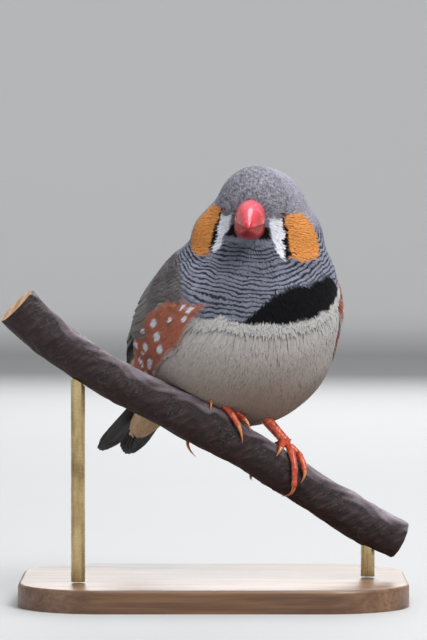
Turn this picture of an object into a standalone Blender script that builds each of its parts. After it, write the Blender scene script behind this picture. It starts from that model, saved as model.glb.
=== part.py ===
"""Male zebra finch, life size, fluffed up and dozing on a cut length of branch, on a plain display stand.

Sizes are in millimetres and become metres when a node is finished. +Z is up, and the origin is the centre
of the stand's underside. The head faces -Y, and the breast is turned from there towards +X.
"""

import math

import bmesh
import bpy
from mathutils import Matrix, Vector
from mathutils.bvhtree import BVHTree

MM = 0.001
GAP = 0.3  # clear space between two nodes that touch in life
SIDES = {"right": -1, "left": 1}

# How the bird sits
BODY_CENTRE = Vector((5.3, 1.0, 59.6))
BODY_HEADING = 38.0
BODY_PITCH = 40.0
HEAD_CENTRE = Vector((9.2, -10.6, 85.2))
HEAD_HEADING = -3.0
HEAD_PITCH = -9.0
HEAD_ROLL = -5.0

# Plumage outline of the body, as rounded masses: centre and radii along forward, left and up
BODY_MASSES = (
    ((0.0, 0.0, 0.0), (26.2, 21.8, 20.8)),
    ((-14.0, 0.0, 3.0), (17.5, 16.5, 13.5)),
    ((-24.0, 0.0, 5.0), (12.0, 9.4, 7.2)),
    ((-32.0, 0.0, 4.2), (15.5, 5.2, 3.2)),
)
# Masses that hang plumb rather than with the body: belly, throat and nape, in the part's own frame
PLUMB_MASSES = (
    ((9.8, 1.0, 54.8), (17.2, 16.5, 17.4)),
    ((9.8, -6.0, 70.0), (17.0, 14.2, 12.0)),
    ((9.8, -3.0, 78.0), (14.4, 13.0, 12.0)),
)
HEAD_MASSES = (
    ((0.3, -0.3, -0.3), (9.2, 8.6, 9.9)),
    ((-4.0, 1.2, -1.5), (9.5, 10.0, 10.2)),
    ((-6.0, 0.8, -6.0), (9.0, 10.5, 9.0)),
    ((-1.0, 5.8, -7.4), (7.6, 8.4, 8.3)),
    ((-1.0, -5.4, -7.6), (7.6, 8.4, 8.3)),
    ((4.8, -0.3, -2.6), (5.4, 6.4, 6.2)),
    ((2.2, 0.2, -10.6), (8.8, 10.5, 7.5)),
)
FLESH_VOXEL = 0.9
FLESH_SMOOTHING = 34
HEAD_CUT = (Vector((9.0, -6.0, 73.0)), Vector((0.0, 0.5, -0.87)))
NECK_CUT = (Vector((10.0, -4.0, 65.5)), Vector((0.12, 0.42, -0.9)))
HEAD_FACES, NECK_FACES, TORSO_FACES = 1400, 550, 1500

# Bill, along the head's forward axis from the face
BILL_ROOT = Vector((8.3, -0.9, -1.4))
BILL_DROP = 3.5
BILL_LENGTH = 9.6
BILL_HALF_WIDTH = 3.3
CULMEN_HEIGHT = 4.5
LOWER_DEPTH = 4.4
BILL_STATIONS = 9
NOSTRIL_PLACE = (0.8, 1.9, 3.55)
NOSTRIL_RADIUS = 0.42

# Eyes: balls that the lids nearly close over
EYE_PLACE = Vector((5.9, 5.9, 0.3))
EYE_SHIFT = -0.5
EYE_RADIUS = 2.1
EYE_TURN = 60.0
LID_REACH = (1.4, 2.3, 1.7)
SLIT_HALF_LENGTH = 1.5
SLIT_HALF_HEIGHT = 0.6
SLIT_SLOPE = -14.0

# Wings: folded against the sides, laid out by distance along the body's axis and by angle round it from the back
WING_FRONT, WING_TIP = 15.0, -36.0
WING_AXIS_UP = 2.0
WING_UPPER_EDGE = (64.0, 44.0, 33.0, 27.0, 22.0, 18.0, 15.0, 14.0, 15.0, 17.0, 22.0)
WING_LOWER_EDGE = (74.0, 92.0, 100.0, 101.0, 98.0, 90.0, 78.0, 64.0, 52.0, 40.0, 27.0)
WING_THICKNESS = (1.1, 1.9, 2.1, 2.0, 1.8, 1.6, 1.4, 1.1, 0.9, 0.8, 0.7)
WING_CLEARANCE = 0.45
WING_ROWS, WING_COLUMNS = 16, 6
WING_CORE_END = 0.86
WING_LEAVES_BODY = -15.0
WING_TIP_RADIUS = 9.0

# Feathers of the folded wing, in tiers from the lowest up. Each tier has a count, then for its first and last
# feather the root's and the tip's place (share of the wing's length, share of the way from its upper to its
# lower edge), the half width and the lift over the wing's slab
WING_TIERS = (
    (6, ((0.52, 0.80), (1.02, 0.90)), ((0.46, 0.35), (0.80, 0.20)), 1.9, 0.05),
    (6, ((0.34, 0.95), (0.74, 0.70)), ((0.30, 0.50), (0.66, 0.22)), 2.1, 0.25),
    (3, ((0.26, 0.36), (0.68, 0.14)), ((0.20, 0.14), (0.50, 0.03)), 2.6, 0.5),
    (7, ((0.20, 1.00), (0.44, 0.97)), ((0.16, 0.12), (0.37, 0.08)), 2.1, 0.45),
    (5, ((0.07, 0.92), (0.27, 0.94)), ((0.05, 0.18), (0.21, 0.12)), 2.2, 0.7),
)
VANE_SHARES = (0.0, 0.38, 0.74, 0.92, 1.0)
VANE_WIDTHS = (0.45, 0.9, 1.0, 0.72, 0.2)
TAIL_VANE_WIDTHS = (0.6, 1.0, 1.0, 0.86, 0.42)
VANE_THICKNESS = 0.8
VANE_TILT = 0.28

# Tail: a narrow fold, straight on from the back
TAIL_ROOT = Vector((-22.0, 0.0, 7.2))
TAIL_LENGTH = 32.0
TAIL_HALF_WIDTHS = (3.9, 4.1, 4.2, 4.3, 4.3)
TAIL_THICKNESS = 1.6
TAIL_CORE_SHARE = 0.84
# Tail feathers of one side, from the middle outwards: place across at root and tip, length short of the tail's, height
TAIL_FEATHERS = (
    (0.8, 1.1, 1.9, 0.75),
    (1.4, 1.9, 1.1, 0.45),
    (2.0, 2.7, 0.4, 0.15),
    (2.5, 3.5, 0.0, -0.15),
    (2.9, 4.3, 0.5, -0.45),
)
TAIL_VANE_HALF_WIDTH = 1.95

# Feet: for each toe, x of the branch and angle round it from its upper side towards -Y, at both ends,
# then the same for the claw's tip with its height over the bark
TOE_RADIUS = 0.78
TOE_TIP_RADIUS = 0.55
LEG_RADIUS = 1.1
FOOT_PLACES = {"right": (-1.6, -14.0), "left": (13.0, 2.0)}
LEG_TOPS = {"right": Vector((1.4, -4.2, 46.6)), "left": Vector((10.4, -3.4, 40.6))}
TOES = {
    "right": {
        "outer": ((-2.8, -8.0), (-3.2, 20.0), (-2.9, 44.0, 0.4)),
        "middle": ((-1.2, 6.0), (3.0, 50.0), (5.0, 78.0, 0.5)),
        "inner": ((0.6, -8.0), (3.9, 16.0), (5.4, 36.0, 0.4)),
        "back": ((-1.6, -40.0), (-2.8, -146.0), (-0.6, -190.0, 2.2)),
    },
    "left": {
        "outer": ((15.2, 12.0), (17.5, 58.0), (18.0, 88.0, 0.5)),
        "middle": ((13.6, 22.0), (17.4, 106.0), (16.9, 158.0, 0.6)),
        "inner": ((11.9, 10.0), (11.8, 38.0), (11.7, 62.0, 0.4)),
        "back": ((12.2, -30.0), (11.0, -140.0), (11.0, -186.0, 0.8)),
    },
}

# Branch: points along its centre line, and its radius there
PERCH_X = (-42.0, -35.8, -27.2, -19.5, -11.3, -1.8, 6.6, 15.0, 24.3, 32.6, 40.4)
PERCH_Z = (64.6, 58.6, 52.3, 47.6, 43.4, 38.5, 33.6, 28.3, 22.2, 17.0, 13.1)
PERCH_RADII = (4.7, 4.45, 4.4, 4.35, 4.4, 4.75, 4.4, 4.25, 4.25, 4.4, 4.2)
PERCH_Y = -9.0
PERCH_Y_SLOPE = 0.2
PERCH_SIDES = 14

# Stand
BASE_SIZE = (84.0, 62.0, 5.0)
BASE_CORNER = 18.0
ROD_RADIUS = 1.5
ROD_X = {"stand_rod_left": -29.0, "stand_rod_right": 33.5}

MATERIALS = {
    "plumage_grey": ((0.42, 0.42, 0.46), 0.9),
    "plumage_back": ((0.30, 0.26, 0.23), 0.9),
    "plumage_tail": ((0.06, 0.055, 0.05), 0.85),
    "plumage_belly": ((0.80, 0.76, 0.70), 0.9),
    "bill_red": ((0.75, 0.10, 0.07), 0.3),
    "leg_orange": ((0.80, 0.22, 0.10), 0.5),
    "claw_horn": ((0.75, 0.35, 0.15), 0.4),
    "eye_dark": ((0.05, 0.02, 0.015), 0.08),
    "bark": ((0.16, 0.09, 0.08), 0.75),
    "stand_wood": ((0.32, 0.19, 0.11), 0.5),
    "stand_metal": ((0.55, 0.52, 0.45), 0.35),
}


def start_empty():
    """Remove what a new Blender file holds, and make the collections for parts and helpers."""
    for obj in list(bpy.data.objects):
        bpy.data.objects.remove(obj)
    collections = {}
    for name in ("zebra_finch", "pieces"):
        collections[name] = bpy.data.collections.new(name)
        bpy.context.scene.collection.children.link(collections[name])
    return collections


COLLECTIONS = start_empty()


def surface_material(name):
    """One Principled finish for each kind of surface."""
    found = bpy.data.materials.get(name)
    if found:
        return found
    colour, roughness = MATERIALS[name]
    material = bpy.data.materials.new(name)
    material.use_nodes = True
    shader = material.node_tree.nodes["Principled BSDF"]
    shader.inputs["Base Color"].default_value = (*colour, 1.0)
    shader.inputs["Roughness"].default_value = roughness
    shader.inputs["Metallic"].default_value = 1.0 if name == "stand_metal" else 0.0
    return material


def turned_frame(origin, heading, pitch, roll=0.0):
    """Axes forward, left and up. Heading 0 faces -Y and turns towards +X, and pitch raises the front."""
    facing = Matrix(((0, 1, 0), (-1, 0, 0), (0, 0, 1))).to_4x4()
    return (
        Matrix.Translation(origin)
        @ Matrix.Rotation(math.radians(heading), 4, "Z")
        @ facing
        @ Matrix.Rotation(-math.radians(pitch), 4, "Y")
        @ Matrix.Rotation(math.radians(roll), 4, "X")
    )


BODY = turned_frame(BODY_CENTRE, BODY_HEADING, BODY_PITCH)
HEAD = turned_frame(HEAD_CENTRE, HEAD_HEADING, HEAD_PITCH, HEAD_ROLL)


def object_of(bm, name, collection="pieces"):
    """A new object that holds a bmesh, with its faces turned outwards."""
    bmesh.ops.recalc_face_normals(bm, faces=bm.faces)
    mesh = bpy.data.meshes.new(name)
    bm.to_mesh(mesh)
    bm.free()
    obj = bpy.data.objects.new(name, mesh)
    COLLECTIONS[collection].objects.link(obj)
    return obj


def applied(obj):
    """Replace an object's mesh by the one that its modifiers give."""
    bpy.context.view_layer.update()
    graph = bpy.context.evaluated_depsgraph_get()
    mesh = bpy.data.meshes.new_from_object(obj.evaluated_get(graph))
    obj.modifiers.clear()
    obj.data = mesh
    return obj


def islands(bm):
    """The separate closed surfaces of a bmesh, as lists of faces."""
    left, found = set(bm.faces), []
    while left:
        island, edge_of_search = [], [left.pop()]
        while edge_of_search:
            face = edge_of_search.pop()
            island.append(face)
            for edge in face.edges:
                for other in edge.link_faces:
                    if other in left:
                        left.remove(other)
                        edge_of_search.append(other)
        found.append(island)
    return found


def keep_largest(obj):
    """Drop loose scraps and sealed hollows, so that a node is one closed surface."""
    bm = bmesh.new()
    bm.from_mesh(obj.data)
    bmesh.ops.triangulate(bm, faces=bm.faces)
    parts = islands(bm)
    largest = max(parts, key=lambda faces: sum(face.calc_area() for face in faces))
    spare = [face for part in parts if part is not largest for face in part]
    bmesh.ops.delete(bm, geom=spare, context="FACES")
    bm.to_mesh(obj.data)
    bm.free()
    return obj


def joined(obj, pieces, operation="UNION", solver="EXACT"):
    """Join pieces to an object, or cut them from it, and remove them."""
    helpers = bpy.data.collections.new("helpers")
    bpy.context.scene.collection.children.link(helpers)
    for piece in pieces:
        COLLECTIONS["pieces"].objects.unlink(piece)
        helpers.objects.link(piece)
    boolean = obj.modifiers.new("join", "BOOLEAN")
    boolean.operation = operation
    boolean.operand_type = "COLLECTION"
    boolean.collection = helpers
    boolean.solver = solver
    applied(obj)
    for piece in pieces:
        bpy.data.objects.remove(piece)
    bpy.data.collections.remove(helpers)
    return keep_largest(obj)


def copy_of(obj, name, grow=0.0):
    """A copy of a piece, grown along its normals where it is to cut a clear gap."""
    bm = bmesh.new()
    bm.from_mesh(obj.data)
    bm.normal_update()
    for vertex in bm.verts:
        vertex.co += vertex.normal * grow
    return object_of(bm, name)


def finish(obj, name, material, smooth_angle=40.0):
    """Name a node, give it its finish, bring it to metres and put it with the parts."""
    COLLECTIONS["pieces"].objects.unlink(obj)
    COLLECTIONS["zebra_finch"].objects.link(obj)
    obj.name = name
    obj.data.name = name
    obj.data.transform(Matrix.Scale(MM, 4))
    obj.data.shade_smooth()
    obj.data.set_sharp_from_angle(angle=math.radians(smooth_angle))
    obj.data.materials.clear()
    obj.data.materials.append(surface_material(material))
    return obj


def blend(a, b, share):
    return a + (b - a) * share


def smooth_value(values, share):
    """A value part of the way along a list, on a smooth curve through its entries."""
    place = min(max(share, 0.0), 1.0) * (len(values) - 1)
    i = min(int(place), len(values) - 2)
    t = place - i
    before = values[max(i - 1, 0)]
    a, b = values[i], values[i + 1]
    after = values[min(i + 2, len(values) - 1)]
    return a + 0.5 * t * (b - before + t * (2 * before - 5 * a + 4 * b - after + t * (3 * (a - b) + after - before)))


def ring(bm, centre, across, up, half_width, half_height, sides=10):
    """A round or oval ring of vertices."""
    return [
        bm.verts.new(centre + across * half_width * math.cos(a) + up * half_height * math.sin(a))
        for a in (2 * math.pi * k / sides for k in range(sides))
    ]


def skinned(bm, rings, close_ends=True):
    """Bridge rings of equal count into one closed surface."""
    count = len(rings[0])
    for first, second in zip(rings, rings[1:]):
        for k in range(count):
            bm.faces.new((first[k], first[(k + 1) % count], second[(k + 1) % count], second[k]))
    if close_ends:
        bm.faces.new(list(reversed(rings[0])))
        bm.faces.new(rings[-1])
    return bm


def tube(name, points, radii, sides=8):
    """A round limb through points, with a radius at each."""
    bm = bmesh.new()
    rings, across = [], None
    for i, point in enumerate(points):
        along = (points[min(i + 1, len(points) - 1)] - points[max(i - 1, 0)]).normalized()
        guide = across if across else (Vector((0, 0, 1)) if abs(along.z) < 0.9 else Vector((1, 0, 0)))
        up = along.cross(guide).normalized()
        across = up.cross(along).normalized()
        rings.append(ring(bm, point, across, up, radii[i], radii[i], sides))
    return object_of(skinned(bm, rings), name)


def masses(name, listed):
    """Overlapping rounded masses melted into one soft form."""
    bm = bmesh.new()
    for frame, centre, radii in listed:
        shape = frame @ Matrix.Translation(centre) @ Matrix.Diagonal((*radii, 1.0))
        bmesh.ops.create_icosphere(bm, subdivisions=4, radius=1.0, matrix=shape)
    obj = object_of(bm, name)
    remesh = obj.modifiers.new("melt", "REMESH")
    remesh.mode = "VOXEL"
    remesh.voxel_size = FLESH_VOXEL
    soften = obj.modifiers.new("soften", "SMOOTH")
    soften.iterations = FLESH_SMOOTHING
    return applied(obj)


def thinned(obj, faces):
    """The same form with about this many triangles."""
    fewer = obj.modifiers.new("fewer", "DECIMATE")
    obj.data.calc_loop_triangles()
    fewer.ratio = min(1.0, faces / len(obj.data.loop_triangles))
    fewer.use_collapse_triangulate = True
    return applied(obj)


def sliced(obj, cuts):
    """Keep the part of a form behind each plane, given as a point and a normal, with flat cut faces."""
    bm = bmesh.new()
    bm.from_mesh(obj.data)
    for point, normal in cuts:
        whole = bm.verts[:] + bm.edges[:] + bm.faces[:]
        bmesh.ops.bisect_plane(bm, geom=whole, plane_co=point, plane_no=normal, clear_outer=True)
        rim = [edge for edge in bm.edges if edge.is_boundary]
        bmesh.ops.holes_fill(bm, edges=rim, sides=0)
    bmesh.ops.triangulate(bm, faces=bm.faces)
    bm.to_mesh(obj.data)
    bm.free()
    return obj


def flesh_form():
    """Head, neck and body in one, as the plumage outlines them."""
    plain = Matrix.Identity(4)
    listed = [(BODY, centre, radii) for centre, radii in BODY_MASSES]
    listed += [(plain, centre, radii) for centre, radii in PLUMB_MASSES]
    listed += [(HEAD, centre, radii) for centre, radii in HEAD_MASSES]
    return masses("flesh", listed)


def plane_moved(plane, distance, flip=False):
    """A cut plane moved along its normal, and turned round where its other side is kept."""
    point, normal = plane
    normal = normal.normalized()
    return point + normal * distance, -normal if flip else normal


# Branch

def perch_line(share):
    """A point on the branch's centre line, from its high end to its low end."""
    x = smooth_value(PERCH_X, share)
    return Vector((x, PERCH_Y + PERCH_Y_SLOPE * x, smooth_value(PERCH_Z, share)))


def perch_share(x):
    """How far along the branch a given x lies."""
    low, high = 0.0, 1.0
    for _ in range(30):
        middle = (low + high) / 2
        if perch_line(middle).x < x:
            low = middle
        else:
            high = middle
    return low


def branch(name, grow=0.0):
    count = 22
    shares = [k / (count - 1) for k in range(count)]
    points = [perch_line(share) for share in shares]
    radii = [smooth_value(PERCH_RADII, share) + grow for share in shares]
    return tube(name, points, radii, PERCH_SIDES)


def on_branch(x, angle, height):
    """A point over the bark: at this x of the branch, this far round it and this high."""
    share = perch_share(x)
    along = (perch_line(min(share + 0.01, 1.0)) - perch_line(share - 0.01)).normalized()
    front = Vector((0, -1, 0))
    front = (front - along * front.dot(along)).normalized()
    upper = along.cross(front).normalized()
    if upper.z < 0:
        upper = -upper
    a = math.radians(angle)
    radius = smooth_value(PERCH_RADII, share) + height
    return perch_line(share) + (upper * math.cos(a) + front * math.sin(a)) * radius


# Legs and feet

def leg(side):
    """The bare shank, rooted in the belly's plumage, down to the sole on the branch."""
    x, angle = FOOT_PLACES[side]
    sole = on_branch(x, angle, GAP + LEG_RADIUS)
    top = LEG_TOPS[side]
    points = [top.lerp(sole, k / 6) for k in range(7)]
    radii = [LEG_RADIUS * (1.0 - 0.12 * math.sin(math.pi * k / 6)) for k in range(7)]
    shank = tube("shank", points, radii)
    pad = bmesh.new()
    bmesh.ops.create_icosphere(
        pad, subdivisions=2, radius=1.0,
        matrix=Matrix.Translation(sole) @ Matrix.Diagonal((LEG_RADIUS * 1.35, LEG_RADIUS * 1.3, LEG_RADIUS * 1.1, 1.0)),
    )
    joined(shank, [object_of(pad, "pad")])
    return joined(shank, [branch("clear", GAP)], "DIFFERENCE")


def toe_line(ends, count):
    """Points on the upper side of the branch that a toe follows."""
    (x0, a0), (x1, a1) = ends[0], ends[1]
    height = GAP + TOE_RADIUS
    return [on_branch(blend(x0, x1, k / count), blend(a0, a1, k / count), height) for k in range(count + 1)]


def clear_pieces(pieces):
    """Copies of pieces, grown to cut a clear gap round each."""
    return [copy_of(piece, "clear", GAP) for piece in pieces]


def toe(side, name, clear_of):
    """A toe that lies along the bark, with joints a little thicker than the rest."""
    points = toe_line(TOES[side][name], 9)
    radii = []
    for k in range(10):
        radius = blend(TOE_RADIUS, TOE_TIP_RADIUS, k / 9)
        radii.append(radius * (1.0 if k % 3 else 1.06) * (0.8 if k == 9 else 1.0))
    built = tube("toe", points, radii)
    return joined(built, clear_pieces(clear_of), "DIFFERENCE")


def claw(side, name, on_toe):
    """A curved, pointed claw that goes on from the toe's end."""
    ends = TOES[side][name]
    line = toe_line(ends, 9)
    x, angle, height = ends[2]
    tip = on_branch(x, angle, height)
    start = line[-2].lerp(line[-1], 0.5)
    onward = (line[-1] - line[-3]).normalized()
    bend = line[-1] + onward * 0.42 * (tip - line[-1]).length
    points, radii = [], []
    for k in range(8):
        t = k / 7
        points.append(start.lerp(bend, t).lerp(bend.lerp(tip, t), t))
        radii.append(blend(0.5, 0.12, t ** 1.2))
    built = tube("claw", points, radii, 6)
    return joined(built, [copy_of(on_toe, "clear", GAP), branch("clear", GAP * 0.7)], "DIFFERENCE")


# Wings and tail

def flesh_radius(tree, u, angle, side):
    """How far the plumage reaches from the body's axis."""
    a = math.radians(angle)
    origin = BODY @ Vector((u, 0.0, WING_AXIS_UP))
    outward = BODY.to_3x3() @ Vector((0.0, SIDES[side] * math.sin(a), math.cos(a)))
    hit = tree.ray_cast(origin + outward * 40.0, -outward)
    return 40.0 - hit[3] if hit[3] else 0.0


def wing_point(tree, u, angle, height, side):
    """A point over the plumage, which past the rump goes on in a straight line to the wing's tip."""
    radius = flesh_radius(tree, u, angle, side)
    if u < WING_LEAVES_BODY:
        start = flesh_radius(tree, WING_LEAVES_BODY, angle, side)
        onward = (WING_LEAVES_BODY - u) / (WING_LEAVES_BODY - WING_TIP)
        radius = max(radius, blend(start, WING_TIP_RADIUS, onward))
    a = math.radians(angle)
    arm = Vector((0.0, SIDES[side] * math.sin(a), math.cos(a))) * (radius + height)
    return BODY @ (Vector((u, 0.0, WING_AXIS_UP)) + arm)


def slab(bm, inner, outer):
    """Close two grids of vertices into one thin solid, with both split into triangles alike."""
    rows, columns = len(inner), len(inner[0])
    for i in range(rows - 1):
        for j in range(columns - 1):
            for grid in (inner, outer):
                a, b, c, d = grid[i][j], grid[i + 1][j], grid[i + 1][j + 1], grid[i][j + 1]
                bm.faces.new((a, b, c))
                bm.faces.new((a, c, d))
    for i in range(rows - 1):
        for j in (0, columns - 1):
            bm.faces.new((inner[i][j], inner[i + 1][j], outer[i + 1][j], outer[i][j]))
    for j in range(columns - 1):
        for i in (0, rows - 1):
            bm.faces.new((inner[i][j], inner[i][j + 1], outer[i][j + 1], outer[i][j]))


def wing_height(t, v):
    """How thick the wing's slab is, at a share of its length and of its width."""
    crown = 1.0 - abs(2 * min(max(v, 0.0), 1.0) - 1) ** 3
    return 0.5 + (smooth_value(WING_THICKNESS, t) - 0.5) * crown


def wing_place(tree, side, t, v, across, height):
    """A point on the wing, moved sideways over the plumage by some millimetres towards its lower edge."""
    u = blend(WING_FRONT, WING_TIP, t)
    angle = blend(smooth_value(WING_UPPER_EDGE, t), smooth_value(WING_LOWER_EDGE, t), v)
    middle = wing_point(tree, u, angle, 0.0, side)
    axis = BODY @ Vector((u, 0.0, WING_AXIS_UP))
    angle += math.degrees(across / (middle - axis).length)
    return wing_point(tree, u, angle, WING_CLEARANCE + height, side)


def wing_core(tree, side):
    """The folded wing's slab, thin at its edges, which the feathers' roots sink into."""
    bm = bmesh.new()
    inner, outer = [], []
    for i in range(WING_ROWS + 1):
        t = WING_CORE_END * i / WING_ROWS
        inner_row, outer_row = [], []
        for j in range(WING_COLUMNS + 1):
            v = j / WING_COLUMNS
            inner_row.append(bm.verts.new(wing_place(tree, side, t, v, 0.0, 0.0)))
            outer_row.append(bm.verts.new(wing_place(tree, side, t, v, 0.0, wing_height(t, v))))
        inner.append(inner_row)
        outer.append(outer_row)
    slab(bm, inner, outer)
    return object_of(bm, "wing_" + side)


def vane(place, half_width, tilt, widths=VANE_WIDTHS):
    """One feather: a thin blade with a raised shaft line, whose rear edge lies over its neighbour."""
    bm = bmesh.new()
    rings = []
    for share, width in zip(VANE_SHARES, widths):
        wide = half_width * width
        thick = VANE_THICKNESS * (1.0 - 0.35 * share)
        section = (
            (-wide, -tilt),
            (0.0, thick / 2),
            (wide, tilt + thick / 3),
            (wide, tilt - thick / 3),
            (0.0, -thick / 2),
        )
        rings.append([bm.verts.new(place(share, across, height)) for across, height in section])
    skinned(bm, rings)
    bmesh.ops.triangulate(bm, faces=bm.faces)
    return object_of(bm, "vane")


def wing_feathers(tree, side):
    """Every feather of the wing's tiers, as separate blades."""
    blades = []
    for count, first, last, half_width, lift in WING_TIERS:
        for k in range(count):
            share = k / (count - 1)
            (t0, v0), (t1, v1) = [
                (blend(a[0], b[0], share), blend(a[1], b[1], share)) for a, b in zip(first, last)
            ]

            def place(along, across, height, t0=t0, v0=v0, t1=t1, v1=v1, lift=lift):
                t, v = blend(t0, t1, along), blend(v0, v1, along)
                over = max(wing_height(t, v) - 0.15 + lift - 0.55 * (1.0 - along) ** 2, 0.45)
                return wing_place(tree, side, t, v, across, over + height)

            blades.append(vane(place, half_width, VANE_TILT))
    return blades


def tail_roof(u):
    """The height of the tail's middle, a little lower towards its end."""
    return TAIL_ROOT.z - 0.04 * (TAIL_ROOT.x - u)


def tail_core():
    """The folded tail's slab, which the feathers sink into."""
    bm = bmesh.new()
    inner, outer = [], []
    rows, columns = 5, 4
    for i in range(rows + 1):
        t = i / rows
        u = TAIL_ROOT.x - t * TAIL_LENGTH * TAIL_CORE_SHARE
        half = smooth_value(TAIL_HALF_WIDTHS, t)
        inner_row, outer_row = [], []
        for j in range(columns + 1):
            v = 2 * j / columns - 1
            roof = tail_roof(u) - 0.6 * v * v
            thick = 0.6 + (TAIL_THICKNESS - 0.6) * (1.0 - v * v) * (1.0 - 0.6 * t)
            inner_row.append(bm.verts.new(BODY @ Vector((u, half * v, roof - thick / 2))))
            outer_row.append(bm.verts.new(BODY @ Vector((u, half * v, roof + thick / 2))))
        inner.append(inner_row)
        outer.append(outer_row)
    slab(bm, inner, outer)
    return object_of(bm, "tail")


def tail_feathers():
    """Five feathers a side, stacked from the middle pair on top to the outer pair below."""
    blades = []
    for side in SIDES.values():
        for root, tip, short, height in TAIL_FEATHERS:

            def place(along, across, rise, side=side, root=root, tip=tip, short=short, height=height):
                u = TAIL_ROOT.x - along * (TAIL_LENGTH - short)
                y = blend(root, tip, along) + across
                return BODY @ Vector((u, side * y, tail_roof(u) + height + rise - 0.012 * y * y))

            blades.append(vane(place, TAIL_VANE_HALF_WIDTH, -0.1, TAIL_VANE_WIDTHS))
    return blades


# Bill and eyes

def bill_half(name, upper):
    """One half of the bill: half-oval sections that shrink along a curve to the point."""
    frame = HEAD @ Matrix.Translation(BILL_ROOT) @ Matrix.Rotation(-math.radians(BILL_DROP), 4, "Y")
    length = BILL_LENGTH if upper else BILL_LENGTH * 0.9
    bm = bmesh.new()
    rings = []
    for i in range(BILL_STATIONS + 1):
        t = i / BILL_STATIONS
        t = 1.0 - (1.0 - t) ** 1.5
        x = -2.5 + (length + 2.5) * t
        forward = max(0.0, x / length)
        wide = BILL_HALF_WIDTH * (1.0 - forward ** 1.7) ** 0.8 + 0.22
        if upper:
            tall = CULMEN_HEIGHT * (1.0 - forward ** 1.9) ** 0.75 + 0.25
            edge = GAP / 2 - 0.5 * forward ** 3
        else:
            wide *= 0.93
            tall = -(LOWER_DEPTH * (1.0 - forward ** 1.8) ** 0.75 + 0.2)
            edge = -GAP / 2 - 0.55 * forward ** 3
        section = []
        for k in range(11):
            a = math.pi * k / 10
            section.append(Vector((x, wide * math.cos(a), edge + tall * math.sin(a) ** 0.8)))
        for v in (-0.5, 0.0, 0.5):
            section.append(Vector((x, wide * v, edge)))
        rings.append([bm.verts.new(frame @ point) for point in section])
    return object_of(skinned(bm, rings), name)


def eye_frame(side):
    """Axes at an eye: outwards, along the slit and across it."""
    place = Vector((EYE_PLACE.x, SIDES[side] * EYE_PLACE.y + EYE_SHIFT, EYE_PLACE.z))
    turn = Matrix.Rotation(math.radians(SIDES[side] * EYE_TURN), 4, "Z")
    return HEAD @ Matrix.Translation(place) @ turn


def eye_oval(side, name, place, radii, detail=2):
    """An oval at an eye, placed outwards from its middle and turned with the slit."""
    bm = bmesh.new()
    slope = Matrix.Rotation(math.radians(SLIT_SLOPE * SIDES[side]), 4, "X")
    shape = eye_frame(side) @ slope @ Matrix.Translation((place, 0, 0)) @ Matrix.Diagonal((*radii, 1.0))
    bmesh.ops.create_icosphere(bm, subdivisions=detail, radius=1.0, matrix=shape)
    return object_of(bm, name)


def nostrils():
    """Two small pits high on the root of the bill."""
    frame = HEAD @ Matrix.Translation(BILL_ROOT) @ Matrix.Rotation(-math.radians(BILL_DROP), 4, "Y")
    x, y, z = NOSTRIL_PLACE
    pits = []
    for side in SIDES.values():
        bm = bmesh.new()
        place = frame @ Matrix.Translation((x, side * y, z))
        bmesh.ops.create_icosphere(bm, subdivisions=1, radius=NOSTRIL_RADIUS, matrix=place)
        pits.append(object_of(bm, "pit"))
    return pits


# Stand

def base_plate():
    """A flat plate with round corners and a softened top edge."""
    length, width, height = BASE_SIZE
    bm = bmesh.new()
    corner = Matrix.Translation((0, 0, height / 2)) @ Matrix.Diagonal((length, width, height, 1.0))
    bmesh.ops.create_cube(bm, size=1.0, matrix=corner)
    upright = [e for e in bm.edges if abs((e.verts[0].co - e.verts[1].co).z) > height / 2]
    bmesh.ops.bevel(bm, geom=upright, offset=BASE_CORNER, segments=7, profile=0.5, affect="EDGES", material=-1)
    top = [e for e in bm.edges if all(v.co.z > height - 0.01 for v in e.verts)]
    bmesh.ops.bevel(bm, geom=top, offset=0.9, segments=2, profile=0.5, affect="EDGES", material=-1)
    return object_of(bm, "stand_base")


def rod(name, x):
    """An upright rod from the base to the underside of the branch, shaped to it."""
    line = perch_line(perch_share(x))
    low, high = BASE_SIZE[2] + GAP, line.z
    bm = bmesh.new()
    place = Matrix.Translation((line.x, line.y, (low + high) / 2))
    bmesh.ops.create_cone(
        bm, cap_ends=True, segments=12, radius1=ROD_RADIUS, radius2=ROD_RADIUS, depth=high - low, matrix=place
    )
    return joined(object_of(bm, name), [branch("rod_seat", GAP)], "DIFFERENCE")


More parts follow.
